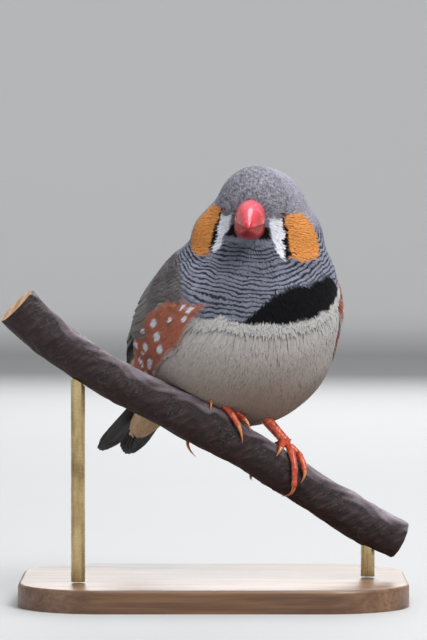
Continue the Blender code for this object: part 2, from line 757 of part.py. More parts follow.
def main():
    flesh = flesh_form()
    surface = bmesh.new()
    surface.from_mesh(flesh.data)
    tree = BVHTree.FromBMesh(surface)
    surface.free()

    head = sliced(copy_of(flesh, "head"), [plane_moved(HEAD_CUT, -GAP / 2)])
    neck = sliced(copy_of(flesh, "neck"), [plane_moved(HEAD_CUT, GAP / 2, True), plane_moved(NECK_CUT, -GAP / 2)])
    torso = sliced(copy_of(flesh, "torso"), [plane_moved(NECK_CUT, GAP / 2, True)])
    thinned(head, HEAD_FACES)
    thinned(neck, NECK_FACES)
    thinned(torso, TORSO_FACES)
    joined(torso, [branch("clear", GAP)], "DIFFERENCE")

    bill = {"bill_upper": bill_half("bill_upper", True), "bill_lower": bill_half("bill_lower", False)}
    for half in bill.values():
        joined(half, clear_pieces([head]), "DIFFERENCE")
    joined(bill["bill_upper"], nostrils(), "DIFFERENCE")
    eyes = {}
    for side in SIDES:
        lens = (EYE_RADIUS * 0.5, SLIT_HALF_LENGTH, SLIT_HALF_HEIGHT)
        eyes[side] = eye_oval(side, "eye_" + side, 0.55, lens)
    joined(head, [eye_oval(side, "lids", 0.0, LID_REACH, 3) for side in SIDES])
    joined(head, clear_pieces(eyes.values()), "DIFFERENCE")

    wings = {side: joined(wing_core(tree, side), wing_feathers(tree, side)) for side in SIDES}
    tail = joined(tail_core(), tail_feathers())
    joined(tail, clear_pieces([torso]), "DIFFERENCE")

    feet = {}
    for side in SIDES:
        shank = leg(side)
        feet["leg_" + side] = shank
        for name in TOES[side]:
            digit = toe(side, name, [shank])
            feet["toe_%s_%s" % (name, side)] = digit
            feet["claw_%s_%s" % (name, side)] = claw(side, name, digit)
    joined(torso, clear_pieces(feet.values()), "DIFFERENCE")
    for name, piece in feet.items():
        finish(piece, name, "claw_horn" if name.startswith("claw") else "leg_orange", 60.0)
    for side in SIDES:
        finish(eyes[side], "eye_" + side, "eye_dark", 80.0)
        finish(wings[side], "wing_" + side, "plumage_back")
    finish(tail, "tail", "plumage_tail")
    for name, half in bill.items():
        finish(half, name, "bill_red", 50.0)
    finish(head, "head", "plumage_grey")
    finish(neck, "neck", "plumage_grey")
    finish(torso, "torso", "plumage_belly")
    finish(branch("perch"), "perch", "bark")
    finish(base_plate(), "stand_base", "stand_wood", 30.0)
    for name, x in ROD_X.items():
        finish(rod(name, x), name, "stand_metal")
    bpy.data.objects.remove(flesh)


main()
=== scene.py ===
# %% [markdown]
# # A zebra finch on its perch
# A life-size still model, as a museum shows one: the bird dozes on a sloping piece of branch
# that two thin rods carry over a wooden base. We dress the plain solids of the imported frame
# with skin, feathers, horn, bark and wood. The frame gives every place, in metres.

# %% Load the frame
import math
import bmesh
import bpy
import numpy as np
from mathutils import Matrix, Vector
from mathutils.bvhtree import BVHTree


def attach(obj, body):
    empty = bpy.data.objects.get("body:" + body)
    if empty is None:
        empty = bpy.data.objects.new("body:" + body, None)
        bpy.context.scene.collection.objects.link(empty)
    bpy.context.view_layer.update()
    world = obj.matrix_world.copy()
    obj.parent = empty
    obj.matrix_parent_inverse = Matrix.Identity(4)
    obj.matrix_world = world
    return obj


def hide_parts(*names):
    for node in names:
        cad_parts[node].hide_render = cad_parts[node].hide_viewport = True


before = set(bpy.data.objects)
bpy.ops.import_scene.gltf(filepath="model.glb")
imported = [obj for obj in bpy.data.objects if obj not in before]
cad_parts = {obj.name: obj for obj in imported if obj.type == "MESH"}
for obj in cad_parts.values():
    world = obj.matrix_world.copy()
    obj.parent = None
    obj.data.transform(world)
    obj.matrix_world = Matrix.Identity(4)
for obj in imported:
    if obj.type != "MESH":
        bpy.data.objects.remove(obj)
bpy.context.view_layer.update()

MM = 0.001
SIDES = {"right": -1.0, "left": 1.0}

# %% [markdown]
# ## Camera, floor and light
# The photograph was taken from far away with a long lens, nearly level with the bird. A long
# lens flattens the shape, so the distance matters more than the zoom: we stand 0.9 m off and
# set the lens so that the frame is 139 mm tall at the bird. Soft light comes from above, as
# under trees, and a pale floor curves up behind into a backdrop that throws no hard edge.

# %% Camera
VIEW_DISTANCE, VIEW_RISE = 0.9, math.radians(2.0)
FRAME_HEIGHT, LOOK_AT = 0.1391, Vector((0.0, 0.0, 0.0609))
camera_data = bpy.data.cameras.new("camera")
camera_data.lens = camera_data.sensor_width * VIEW_DISTANCE / FRAME_HEIGHT
camera_data.clip_start, camera_data.clip_end = 0.01, 20.0
camera = bpy.data.objects.new("camera", camera_data)
bpy.context.scene.collection.objects.link(camera)
camera.location = LOOK_AT + VIEW_DISTANCE * Vector((0.0, -math.cos(VIEW_RISE), math.sin(VIEW_RISE)))
camera.rotation_mode = "QUATERNION"
camera.rotation_quaternion = (LOOK_AT - camera.location).to_track_quat("-Z", "Y")
bpy.context.scene.camera = camera
bpy.context.scene.view_settings.view_transform = "Standard"
print("lens %.0f mm" % camera_data.lens)

# %% Soft lamps
def area_lamp(name, place, size, power, colour=(1.0, 1.0, 1.0)):
    """A soft square lamp that faces the bird."""
    data = bpy.data.lights.new(name, "AREA")
    data.energy, data.size, data.color = power, size, colour
    lamp = bpy.data.objects.new(name, data)
    bpy.context.scene.collection.objects.link(lamp)
    lamp.location = place
    lamp.rotation_mode = "QUATERNION"
    lamp.rotation_quaternion = (LOOK_AT - Vector(place)).to_track_quat("-Z", "Y")


area_lamp("key", (0.42, -0.50, 0.72), 0.45, 8.5, (1.0, 0.985, 0.96))
area_lamp("top", (0.10, 0.0, 0.95), 0.6, 6.5, (0.95, 0.97, 1.0))
area_lamp("fill", (-0.75, -0.5, 0.25), 0.6, 1.4)
area_lamp("back", (0.1, 0.8, 0.45), 0.6, 4.5)
world = bpy.data.worlds.new("studio")
bpy.context.scene.world = world
world.use_nodes = True
world.node_tree.nodes["Background"].inputs["Color"].default_value = (0.86, 0.88, 0.9, 1.0)
world.node_tree.nodes["Background"].inputs["Strength"].default_value = 0.36
print("lamps:", [lamp.name for lamp in bpy.data.lights])

# %% [markdown]
# ## Small helpers for nodes and meshes
# A material is a graph of nodes. One helper adds a node with its values and links in a single
# call, which keeps each recipe short. Meshes are made in millimetres, because every part of a
# finch is a few millimetres across, and brought to metres once, in their vertices, so that the
# object itself stays at the origin, unturned and unscaled.

# %% Node and material helpers
def add(tree, kind, inputs=None, **settings):
    """Add a shader node. Inputs are values, or outputs of other nodes to link."""
    node = tree.nodes.new("ShaderNode" + kind)
    for key, value in settings.items():
        setattr(node, key, value)
    for key, value in (inputs or {}).items():
        if isinstance(value, bpy.types.NodeSocket):
            tree.links.new(value, node.inputs[key])
        else:
            node.inputs[key].default_value = value
    return node


def new_material(name, **fixed):
    """A material with an empty Principled finish, whose fixed values sit on the shader itself."""
    made = bpy.data.materials.new(name)
    made.use_nodes = True
    shader = made.node_tree.nodes["Principled BSDF"]
    for key, value in fixed.items():
        shader.inputs[key.replace("_", " ")].default_value = value
    return made, made.node_tree, shader


def ramp(tree, value, stops):
    """A colour ramp with stops of place and colour."""
    node = add(tree, "ValToRGB", {0: value})
    band = node.color_ramp
    while len(band.elements) < len(stops):
        band.elements.new(0.5)
    for element, (place, colour) in zip(band.elements, stops):
        element.position = place
        element.color = (*colour, 1.0)
    return node.outputs["Color"]


def mixed(tree, share, first, second, mode="MIX"):
    """Two colours mixed by a share."""
    node = add(tree, "Mix", data_type="RGBA", blend_type=mode)
    for socket, value in ((0, share), (6, first), (7, second)):
        if isinstance(value, bpy.types.NodeSocket):
            tree.links.new(value, node.inputs[socket])
        else:
            node.inputs[socket].default_value = value if socket == 0 else (*value, 1.0)
    return node.outputs[2]


def maths(tree, operation, first, second=0.0, third=0.0, clamp=False):
    """One arithmetic step."""
    return add(tree, "Math", {0: first, 1: second, 2: third}, operation=operation, use_clamp=clamp).outputs[0]


def shaded(tree, colour, value):
    """A colour multiplied by a grey value."""
    grey = add(tree, "CombineColor", {0: value, 1: value, 2: value}).outputs[0]
    return mixed(tree, 1.0, colour, grey, "MULTIPLY")


def noise(tree, place, scale, detail, roughness=0.5):
    """Plain noise over a place."""
    values = {"Vector": place, "Scale": scale, "Detail": detail, "Roughness": roughness}
    return add(tree, "TexNoise", values).outputs["Fac"]


def facing_up(tree):
    """How far the surface faces up, from -1 to 1."""
    return add(tree, "SeparateXYZ", {0: add(tree, "NewGeometry").outputs["Normal"]}).outputs["Z"]


def details_of(tree):
    """The mesh's details: random, along and across as three channels, and the barring."""
    read = add(tree, "Attribute", attribute_name="detail").outputs
    return add(tree, "SeparateColor", {0: read["Color"]}).outputs, read["Alpha"]


def feed(tree, shader, colour, roughness=None, relief=None):
    """Link colour, roughness and relief (height, distance, strength) to the shader."""
    tree.links.new(colour, shader.inputs["Base Color"])
    if roughness is not None:
        tree.links.new(roughness, shader.inputs["Roughness"])
    if relief is not None:
        height, distance, strength = relief
        bump = add(tree, "Bump", {"Height": height, "Distance": distance, "Strength": strength})
        tree.links.new(bump.outputs[0], shader.inputs["Normal"])


print("helpers ready")

# %% Mesh helpers
def linked(name, mesh):
    """A new object in the scene for a mesh."""
    made = bpy.data.objects.new(name, mesh)
    bpy.context.scene.collection.objects.link(made)
    return made


def plain_object(bm, name):
    """A new object from a bmesh, in the bmesh's own units."""
    mesh = bpy.data.meshes.new(name)
    bm.to_mesh(mesh)
    bm.free()
    return linked(name, mesh)


def object_from(bm, name):
    """A new object from a bmesh in millimetres, brought to metres in its vertices."""
    bmesh.ops.recalc_face_normals(bm, faces=bm.faces)
    bmesh.ops.scale(bm, vec=(MM, MM, MM), verts=bm.verts)
    return plain_object(bm, name)


def bridged(bm, rings):
    """Faces from each closed ring of points to the next."""
    for first, second in zip(rings, rings[1:]):
        for k in range(len(first)):
            after = (k + 1) % len(first)
            bm.faces.new((first[k], first[after], second[after], second[k]))


def applied(made):
    """The object with its modifiers made real."""
    bpy.context.view_layer.update()
    graph = bpy.context.evaluated_depsgraph_get()
    real = made.evaluated_get(graph)
    mesh = bpy.data.meshes.new_from_object(real, preserve_all_data_layers=True, depsgraph=graph)
    made.modifiers.clear()
    made.data = mesh
    return made


def melted(bm, name, voxel, passes):
    """Overlapping closed shapes melted by a voxel remesh into one soft surface of triangles."""
    made = plain_object(bm, name)
    melt = made.modifiers.new("melt", "REMESH")
    melt.mode, melt.voxel_size = "VOXEL", voxel
    soften = made.modifiers.new("soften", "SMOOTH")
    soften.iterations = passes
    whole = bmesh.new()
    whole.from_mesh(applied(made).data)
    bmesh.ops.triangulate(whole, faces=whole.faces)
    bpy.data.objects.remove(made)
    return whole


def finished(made, material, nodes=(), angle=None):
    """Give a piece its material, let it ride on the frame and stand for its nodes."""
    made.data.materials.clear()
    made.data.materials.append(material)
    made.data.shade_smooth()
    if angle:
        made.data.set_sharp_from_angle(angle=math.radians(angle))
    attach(made, "root")
    if nodes:
        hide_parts(*nodes)
    made.data.calc_loop_triangles()
    print(made.name, len(made.data.loop_triangles), "triangles")


def blend(a, b, share):
    """A value or place part of the way from one to another."""
    return a + (b - a) * share


def smooth_value(values, share):
    """A value part of the way along a list, on a smooth curve through its entries."""
    place = min(max(share, 0.0), 1.0) * (len(values) - 1)
    i = min(int(place), len(values) - 2)
    t = place - i
    before, a, b = values[max(i - 1, 0)], values[i], values[i + 1]
    after = values[min(i + 2, len(values) - 1)]
    bend = 2 * before - 5 * a + 4 * b - after + t * (3 * (a - b) + after - before)
    return a + 0.5 * t * (b - before + t * bend)


def turned_frame(origin, heading, pitch, roll=0.0):
    """Axes forward, left and up. Heading 0 faces -Y and turns towards +X, and pitch raises the front."""
    facing = Matrix(((0, 1, 0), (-1, 0, 0), (0, 0, 1))).to_4x4()
    return (
        Matrix.Translation(origin) @ Matrix.Rotation(math.radians(heading), 4, "Z") @ facing
        @ Matrix.Rotation(-math.radians(pitch), 4, "Y") @ Matrix.Rotation(math.radians(roll), 4, "X")
    )


def softened(edge0, edge1, value):
    """A smooth step from 0 to 1 for whole arrays."""
    t = np.clip((value - edge0) / (edge1 - edge0), 0.0, 1.0)
    return t * t * (3.0 - 2.0 * t)


BODY = turned_frame(Vector((5.3, 1.0, 59.6)), 38.0, 40.0)
HEAD = turned_frame(Vector((9.2, -10.6, 85.2)), -3.0, -9.0, -5.0)
print("body faces", [round(v, 2) for v in BODY.col[0][:3]])
print("head faces", [round(v, 2) for v in HEAD.col[0][:3]])

# %% [markdown]
# ## The perch
# The bird grips a sloping branch: bark that is nearly black with a painted purplish highlight on top,
# redder below, with grey lichen specks, a few knots and fine lengthwise cracks. We could wrap a cylinder
# along a curve; instead a circle is extruded ring by ring along the branch's line, so each ring can
# have its own radius and swell into a knot, and the ends are filled as fresh saw cuts.

# %% The branch's line, the same as the solid's
PERCH_X = (-42.0, -35.8, -27.2, -19.5, -11.3, -1.8, 6.6, 15.0, 24.3, 32.6, 40.4)
PERCH_Z = (64.6, 58.6, 52.3, 47.6, 43.4, 38.5, 33.6, 28.3, 22.2, 17.0, 13.1)
PERCH_RADII = (4.7, 4.45, 4.4, 4.35, 4.4, 4.75, 4.4, 4.25, 4.25, 4.4, 4.2)
GAP = 0.3


def perch_line(share):
    """The branch's middle at a share of its length."""
    x = smooth_value(PERCH_X, share)
    return Vector((x, -9.0 + 0.2 * x, smooth_value(PERCH_Z, share)))


def perch_share(x):
    """The share of the branch's length that lies at this x, found by halving."""
    low, high = 0.0, 1.0
    for _ in range(30):
        middle = (low + high) / 2
        low, high = (middle, high) if perch_line(middle).x < x else (low, middle)
    return low


def perch_axes(share):
    """The branch's direction, its upper side and its front at a place along it."""
    along = (perch_line(min(share + 0.01, 1.0)) - perch_line(max(share - 0.01, 0.0))).normalized()
    front = Vector((0, -1, 0))
    front = (front - along * front.dot(along)).normalized()
    upper = along.cross(front).normalized()
    return along, upper if upper.z > 0 else -upper, front


def on_branch(x, angle, height):
    """A point over the bark: at this x, this far round from the upper side and this high."""
    share = perch_share(x)
    _, upper, front = perch_axes(share)
    a = math.radians(angle)
    reach = smooth_value(PERCH_RADII, share) + height
    return perch_line(share) + (upper * math.cos(a) + front * math.sin(a)) * reach


PERCH_TABLE = np.array([(*perch_line(s), smooth_value(PERCH_RADII, s)) for s in np.linspace(0, 1, 160)])


def off_branch(points, clear):
    """Move points that lie inside the branch straight out to its bark, plus a clearance."""
    x = points[:, 0].copy()
    for _ in range(4):
        centre = np.stack([np.interp(x, PERCH_TABLE[:, 0], PERCH_TABLE[:, k]) for k in range(3)], 1)
        ahead = np.stack([np.interp(x + 0.5, PERCH_TABLE[:, 0], PERCH_TABLE[:, k]) for k in range(3)], 1)
        along = ahead - centre
        along /= np.linalg.norm(along, axis=1, keepdims=True) + 1e-9
        x = np.clip(x + ((points - centre) * along).sum(1) * along[:, 0], PERCH_X[0], PERCH_X[-1] - 0.6)
    out = points - centre
    reach = np.linalg.norm(out, axis=1)
    need = np.interp(x, PERCH_TABLE[:, 0], PERCH_TABLE[:, 3]) + clear
    inside = (reach < need) & (points[:, 0] > PERCH_X[0]) & (points[:, 0] < PERCH_X[-1])
    moved = points.copy()
    moved[inside] = (centre + out / (reach[:, None] + 1e-9) * need[:, None])[inside]
    return moved


print("branch is %.0f mm long" % sum(
    (perch_line(k / 40) - perch_line((k + 1) / 40)).length for k in range(40)
))

# %% The branch's mesh
# knots: place along x, turn round the branch, height and width
KNOTS = ((-1.6, 60.0, 0.55, 2.6), (28.5, -30.0, 0.5, 2.4), (-24.0, 110.0, 0.4, 2.0), (14.0, 170.0, 0.45, 2.2))
PERCH_RINGS, PERCH_SIDES = 200, 56


def bark_swell(share, angle, x):
    """Small swellings, cracks and knots of the bark, in millimetres."""
    swell = 0.10 * math.sin(3 * angle + 9 * share) * math.sin(23 * share + angle)
    swell += 0.07 * math.sin(11 * angle + 5 * math.sin(31 * share)) + 0.05 * math.sin(71 * share + 4 * angle)
    for knot_x, knot_angle, height, width in KNOTS:
        turn = (math.degrees(angle) - knot_angle + 180) % 360 - 180
        away = math.hypot(x - knot_x, math.radians(turn) * 4.4) / width
        swell += height * math.exp(-away * away) * (1.0 - 0.9 * math.exp(-(away * 3.2) ** 2))
    return min(swell, 0.22) if swell < 0.3 else min(swell, 0.6)


def branch_mesh():
    """Rings of bark from end to end, closed by saw cuts with a narrow rim."""
    bm = bmesh.new()
    rings = []
    for i in range(PERCH_RINGS + 1):
        share = i / PERCH_RINGS
        _, upper, front = perch_axes(share)
        centre, radius = perch_line(share), smooth_value(PERCH_RADII, share)
        ring = []
        for k in range(PERCH_SIDES):
            a = 2 * math.pi * k / PERCH_SIDES
            reach = radius + bark_swell(share, a, centre.x)
            ring.append(bm.verts.new(centre + (upper * math.cos(a) + front * math.sin(a)) * reach))
        rings.append(ring)
    bridged(bm, rings)
    caps = [bm.faces.new(rings[0]), bm.faces.new(rings[-1])]
    bmesh.ops.inset_region(bm, faces=caps, thickness=0.5, depth=0.0)
    for cap in caps:
        bmesh.ops.poke(bm, faces=[cap])
    return object_from(bm, "perch_branch")


perch = branch_mesh()

# %% [markdown]
# ### One shared shader group
# Grain, scratches and faint clouds turn up on bark, wood, horn and skin. All are the same noise,
# more or less drawn out along an axis, so it is built once as a node group with named sockets
# and placed in every material with its own values.

# %% The streak group
def new_group(name, inputs, outputs):
    """A node group with named inputs (kind, default) and outputs."""
    tree = bpy.data.node_groups.new(name, "ShaderNodeTree")
    for label, (kind, value) in inputs.items():
        socket = tree.interface.new_socket(label, in_out="INPUT", socket_type="NodeSocket" + kind)
        if value is not None:
            socket.default_value = value
    for label, kind in outputs.items():
        tree.interface.new_socket(label, in_out="OUTPUT", socket_type="NodeSocket" + kind)
    return tree, tree.nodes.new("NodeGroupInput").outputs, tree.nodes.new("NodeGroupOutput").inputs


def stretched_noise_group():
    """Streaks: noise drawn out along one axis of the place it is given."""
    tree, inputs, outputs = new_group(
        "streaks",
        {"Place": ("Vector", None), "Stretch": ("Vector", (1.0, 1.0, 1.0)), "Scale": ("Float", 1000.0),
         "Detail": ("Float", 4.0), "Contrast": ("Float", 1.6)},
        {"Streak": "Float"},
    )
    drawn = add(tree, "VectorMath", {0: inputs["Place"], 1: inputs["Stretch"]}, operation="MULTIPLY")
    values = noise(tree, drawn.outputs[0], inputs["Scale"], inputs["Detail"], 0.6)
    centred = maths(tree, "SUBTRACT", values, 0.5)
    raised = maths(tree, "MULTIPLY_ADD", centred, inputs["Contrast"], 0.5, clamp=True)
    tree.links.new(raised, outputs["Streak"])
    return tree


STREAKS = stretched_noise_group()


def streaks(tree, place, stretch, scale, detail=4.0, contrast=1.6):
    """One use of the streak group, with its own values."""
    node = tree.nodes.new("ShaderNodeGroup")
    node.node_tree = STREAKS
    tree.links.new(place, node.inputs["Place"])
    node.inputs["Stretch"].default_value = stretch
    node.inputs["Scale"].default_value = scale
    node.inputs["Detail"].default_value = detail
    node.inputs["Contrast"].default_value = contrast
    return node.outputs["Streak"]


def own_place(tree, turn=(0.0, 0.0, 0.0)):
    """Object coordinates, turned so that a pattern can follow the piece."""
    coords = add(tree, "TexCoord").outputs["Object"]
    return add(tree, "Mapping", {"Vector": coords, "Rotation": turn}, vector_type="POINT").outputs[0]


print("groups:", [group.name for group in bpy.data.node_groups])

# %% Bark and cut wood
PERCH_SLOPE = math.radians(30.7)


def bark_material():
    """Dark, cracked bark, reddish below, with lichen specks and a painted purplish grey highlight where it
    faces up.
    """
    made, tree, shader = new_material("bark", Roughness=0.75, Specular_IOR_Level=0.35)
    place = own_place(tree, turn=(0.0, PERCH_SLOPE, 0.0))
    lengthwise = streaks(tree, place, (0.16, 1.0, 1.0), 900.0, 6.0, 2.4)
    mottled = streaks(tree, place, (0.6, 1.0, 1.0), 260.0, 5.0, 2.2)
    colour = ramp(tree, lengthwise, (
        (0.15, (0.003, 0.0018, 0.0022)),
        (0.5, (0.011, 0.0055, 0.0065)),
        (0.9, (0.055, 0.032, 0.037)),
    ))
    colour = mixed(tree, maths(tree, "MULTIPLY", mottled, 0.4), colour, (0.034, 0.018, 0.022))
    facing = facing_up(tree)
    under = maths(tree, "MULTIPLY_ADD", facing, -0.9, 0.05, clamp=True)
    colour = mixed(tree, maths(tree, "MULTIPLY", under, 0.7), colour, (0.038, 0.016, 0.013))
    # painted highlight: faces that look up are mixed towards a pale purplish grey, the sky's sheen on the top
    # edge, broken into patches by the mottling
    sheen_patches = maths(tree, "MULTIPLY_ADD", mottled, 0.6, 0.4)
    upper = maths(tree, "MULTIPLY", maths(tree, "MULTIPLY_ADD", facing, 1.7, -0.75, clamp=True), sheen_patches)
    colour = mixed(tree, maths(tree, "MULTIPLY", upper, 0.95), colour, (0.46, 0.39, 0.45))
    lichen = streaks(tree, place, (0.7, 1.0, 1.0), 2300.0, 3.0, 6.0)
    patches = streaks(tree, place, (1.0, 1.0, 1.0), 190.0, 2.0, 5.0)
    specks = maths(tree, "MULTIPLY", maths(tree, "MULTIPLY_ADD", lichen, 2.4, -1.7, clamp=True),
                   maths(tree, "MULTIPLY_ADD", patches, 2.6, -1.75, clamp=True))
    colour = mixed(tree, maths(tree, "MULTIPLY", specks, 0.35), colour, (0.17, 0.16, 0.17))
    height = maths(tree, "MULTIPLY_ADD", specks, 0.7, lengthwise)
    roughness = maths(tree, "MULTIPLY_ADD", lengthwise, 0.25, 0.55)
    feed(tree, shader, colour, roughness, (height, 0.00035, 0.9))
    return made


def cut_wood_material():
    """Pale sawn wood with growth rings round the branch's line."""
    made, tree, shader = new_material("cut_wood", Roughness=0.7, Specular_IOR_Level=0.3)
    place = own_place(tree, turn=(0.0, PERCH_SLOPE, 0.0))
    waves = {"Vector": place, "Scale": 330.0, "Distortion": 2.5, "Detail": 3.0, "Detail Scale": 2.0}
    rings = add(tree, "TexWave", waves, wave_type="RINGS", rings_direction="X").outputs["Fac"]
    fine = streaks(tree, place, (1.0, 1.0, 1.0), 2600.0, 3.0, 1.8)
    colour = ramp(tree, rings, ((0.0, (0.30, 0.16, 0.075)), (1.0, (0.47, 0.29, 0.15))))
    colour = mixed(tree, maths(tree, "MULTIPLY", fine, 0.4), colour, (0.22, 0.11, 0.05))
    feed(tree, shader, colour, relief=(fine, 0.0001, 0.6))
    return made


BARK, CUT_WOOD = bark_material(), cut_wood_material()
finished(perch, BARK, ["perch"], angle=50)
perch.data.materials.append(CUT_WOOD)
CUT_REACH = 4.8 * MM
end_low, end_high = perch_line(0.0) * MM, perch_line(1.0) * MM
for face in perch.data.polygons:
    near = min((Vector(face.center) - end_low).length, (Vector(face.center) - end_high).length)
    axis = perch_axes(0.0 if face.center.x < 0 else 1.0)[0]
    if near < CUT_REACH and abs(face.normal.dot(axis)) > 0.9:
        face.material_index = 1

# %% [markdown]
# ## The skin
# Under its feathers a finch is a smooth egg of a body with a round head sunk between the
# shoulders. Sculpting would do, but rounded masses melted together by a voxel remesh give the
# same soft form from a few named sizes, and one closed skin has no seam at the neck. These are
# the masses of the solids; the skin then shrinks inwards by the depth of the plumage, which is
# thin on the face and deep on the belly, and keeps off the branch.

# %% Melt the masses
BODY_MASSES = (
    ((0.0, 0.0, 0.0), (26.2, 21.8, 20.8)),
    ((-14.0, 0.0, 3.0), (17.5, 16.5, 13.5)),
    ((-24.0, 0.0, 5.0), (12.0, 9.4, 7.2)),
    ((-32.0, 0.0, 4.2), (15.5, 5.2, 3.2)),
)
PLUMB_MASSES = (
    ((9.8, 1.0, 54.8), (17.2, 16.5, 17.4)),
    ((9.8, -6.0, 70.0), (17.0, 14.2, 12.0)),
    ((9.8, -3.0, 78.0), (14.4, 13.0, 12.0)),
)
HEAD_MASSES = (
    ((0.3, -0.3, -0.3), (9.2, 8.6, 9.9)),
    ((-4.0, 1.2, -1.5), (9.5, 10.0, 10.2)),
    ((-6.0, 0.8, -6.0), (9.0, 10.5, 9.0)),
    ((-1.0, 5.8, -7.4), (7.6, 8.4, 8.3)),
    ((-1.0, -5.4, -7.6), (7.6, 8.4, 8.3)),
    ((4.8, -0.3, -2.6), (5.4, 6.4, 6.2)),
    ((2.2, 0.2, -10.6), (8.8, 10.5, 7.5)),
)


def melted_form():
    """All masses melted into one soft surface, in millimetres."""
    bm = bmesh.new()
    listed = [(BODY, *mass) for mass in BODY_MASSES] + [(Matrix.Identity(4), *mass) for mass in PLUMB_MASSES]
    listed += [(HEAD, *mass) for mass in HEAD_MASSES]
    for axes, centre, radii in listed:
        shape = axes @ Matrix.Translation(centre) @ Matrix.Diagonal((*radii, 1.0))
        bmesh.ops.create_icosphere(bm, subdivisions=4, radius=1.0, matrix=shape)
    return melted(bm, "masses", voxel=0.9, passes=34)


form_bm = melted_form()
form_bm.normal_update()
# places where the plumage sinks in: middle, reach and depth
HOLLOWS = (
    ((20.0, -3.0, 41.0), 9.0, 1.9),
    ((24.5, -2.0, 50.0), 8.0, 0.7),
    (BODY @ Vector((-3.0, -15.5, 13.0)), 10.0, 1.2),
)
for middle, size, depth in HOLLOWS:
    shares = [depth * math.exp(-((v.co - Vector(middle)).length / size) ** 2) for v in form_bm.verts]
    for vertex, share in zip(form_bm.verts, shares):
        vertex.co -= vertex.normal * share
OUTLINE = BVHTree.FromBMesh(form_bm)
print("form:", len(form_bm.verts), "points")

# %% Depth of the plumage
TO_HEAD, TO_BODY = np.array(HEAD.inverted()), np.array(BODY.inverted())
BILL_ROOT = Vector((8.3, -0.9, -1.4))
FACE_MIDDLE = -1.1


def local(matrix, points):
    """Points in the axes that a matrix leads to."""
    return points @ matrix[:3, :3].T + matrix[:3, 3]


def from_bill(points):
    """How far points lie from the bill's root, in millimetres."""
    return np.linalg.norm(local(TO_HEAD, points) - np.array(BILL_ROOT), axis=1)


def plumage_depth(points):
    """How deep the coat is: thin round the bill and eyes, deep on the body."""
    away = from_bill(points)
    return 0.3 + 0.35 * softened(2.0, 9.0, away) + 0.45 * softened(10.0, 30.0, away)


def skin_from_form():
    """The form, sunk by the coat's depth and kept off the branch."""
    bm = form_bm.copy()
    bm.normal_update()
    points = np.array([v.co for v in bm.verts])
    normals = np.array([v.normal for v in bm.verts])
    moved = off_branch(points - normals * plumage_depth(points)[:, None], GAP + 0.1)
    for vertex, place in zip(bm.verts, moved):
        vertex.co = place
    return bm, moved


skin_bm, skin_points = skin_from_form()
print("depth from %.2f to %.2f mm" % (plumage_depth(skin_points).min(), plumage_depth(skin_points).max()))

# %% [markdown]
# ### The wings' ground
# Folded wings lie on the body under the breast and flank feathers. To lay feathers over both,
# we need one outline of the dressed bird. A thin slab for each wing is laid out on the body by
# distance along its axis and by angle round it, and is melted into the form.

# %% Places on and over the body
WING_FRONT, WING_TIP, WING_AXIS_UP = 15.0, -36.0, 2.0
WING_UPPER_EDGE = (64.0, 44.0, 33.0, 27.0, 22.0, 18.0, 15.0, 14.0, 15.0, 17.0, 22.0)
WING_LOWER_EDGE = (74.0, 92.0, 100.0, 101.0, 98.0, 90.0, 78.0, 64.0, 52.0, 40.0, 27.0)
WING_THICKNESS = (1.1, 1.9, 2.1, 2.0, 1.8, 1.6, 1.4, 1.1, 0.9, 0.8, 0.7)
RAY_START, RUMP_START, RUMP_LENGTH = 40.0, -15.0, 21.0


def reach_of(tree, along, angle, side):
    """How far a surface reaches from the body's axis."""
    a = math.radians(angle)
    origin = BODY @ Vector((along, 0.0, WING_AXIS_UP))
    outward = BODY.to_3x3() @ Vector((0.0, SIDES[side] * math.sin(a), math.cos(a)))
    hit = tree.ray_cast(origin + outward * RAY_START, -outward)
    return RAY_START - hit[3] if hit[3] else 0.0


def over_surface(tree, side, along, angle, height):
    """A point over a surface, straight on past the rump to the wing's tip."""
    reach = reach_of(tree, along, angle, side)
    if along < RUMP_START:
        start = reach_of(tree, RUMP_START, angle, side)
        reach = max(reach, blend(start, 9.0, (RUMP_START - along) / RUMP_LENGTH))
    a = math.radians(angle)
    arm = Vector((0.0, SIDES[side] * math.sin(a), math.cos(a))) * (reach + height)
    return BODY @ (Vector((along, 0.0, WING_AXIS_UP)) + arm), reach


def slab_height(t, v):
    """How far the folded wing stands over the body: low in front, highest in the middle."""
    crown = 1.0 - abs(2 * min(max(v, 0.0), 1.0) - 1) ** 3
    full = 0.5 + (smooth_value(WING_THICKNESS, t) - 0.5) * crown
    return full * (0.1 + 0.9 * min(t / 0.62, 1.0) ** 1.5)


def wing_place(side, t, v, across, height):
    """A point on the wing: share of its length, share of its width, and millimetres sideways."""
    along = blend(WING_FRONT, WING_TIP, t)
    angle = blend(smooth_value(WING_UPPER_EDGE, t), smooth_value(WING_LOWER_EDGE, t), v)
    _, reach = over_surface(OUTLINE, side, along, angle, 0.0)
    angle += math.degrees(across / max(reach, 4.0))
    return over_surface(OUTLINE, side, along, angle, 0.45 + height)[0]


print("wing runs %.0f mm along the body" % (WING_FRONT - WING_TIP))

# %% The dressed outline
def wing_slab(bm, side, count=14, columns=8):
    """The front of one wing as a closed slab, row by row along it."""
    rows = []
    for i in range(count + 1):
        t = 0.03 + 0.56 * i / count
        shares = [0.02 + 0.96 * j / columns for j in range(columns + 1)]
        under = [bm.verts.new(wing_place(side, t, v, 0.0, -1.6)) for v in shares]
        over = [bm.verts.new(wing_place(side, t, v, 0.0, -0.4 + slab_height(t, v))) for v in shares]
        rows.append((under, over))
    for first, second in zip(rows, rows[1:]):
        for near, far in zip(first, second):
            for j in range(columns):
                bm.faces.new((near[j], far[j], far[j + 1], near[j + 1]))
        for j in (0, columns):
            bm.faces.new((first[0][j], second[0][j], second[1][j], first[1][j]))
    for under, over in (rows[0], rows[-1]):
        for j in range(columns):
            bm.faces.new((under[j], under[j + 1], over[j + 1], over[j]))


def dressed_form():
    """The form with the front of both wings melted in."""
    bm = form_bm.copy()
    for side in SIDES:
        wing_slab(bm, side)
    bmesh.ops.recalc_face_normals(bm, faces=bm.faces)
    return melted(bm, "dressed", voxel=0.6, passes=16)


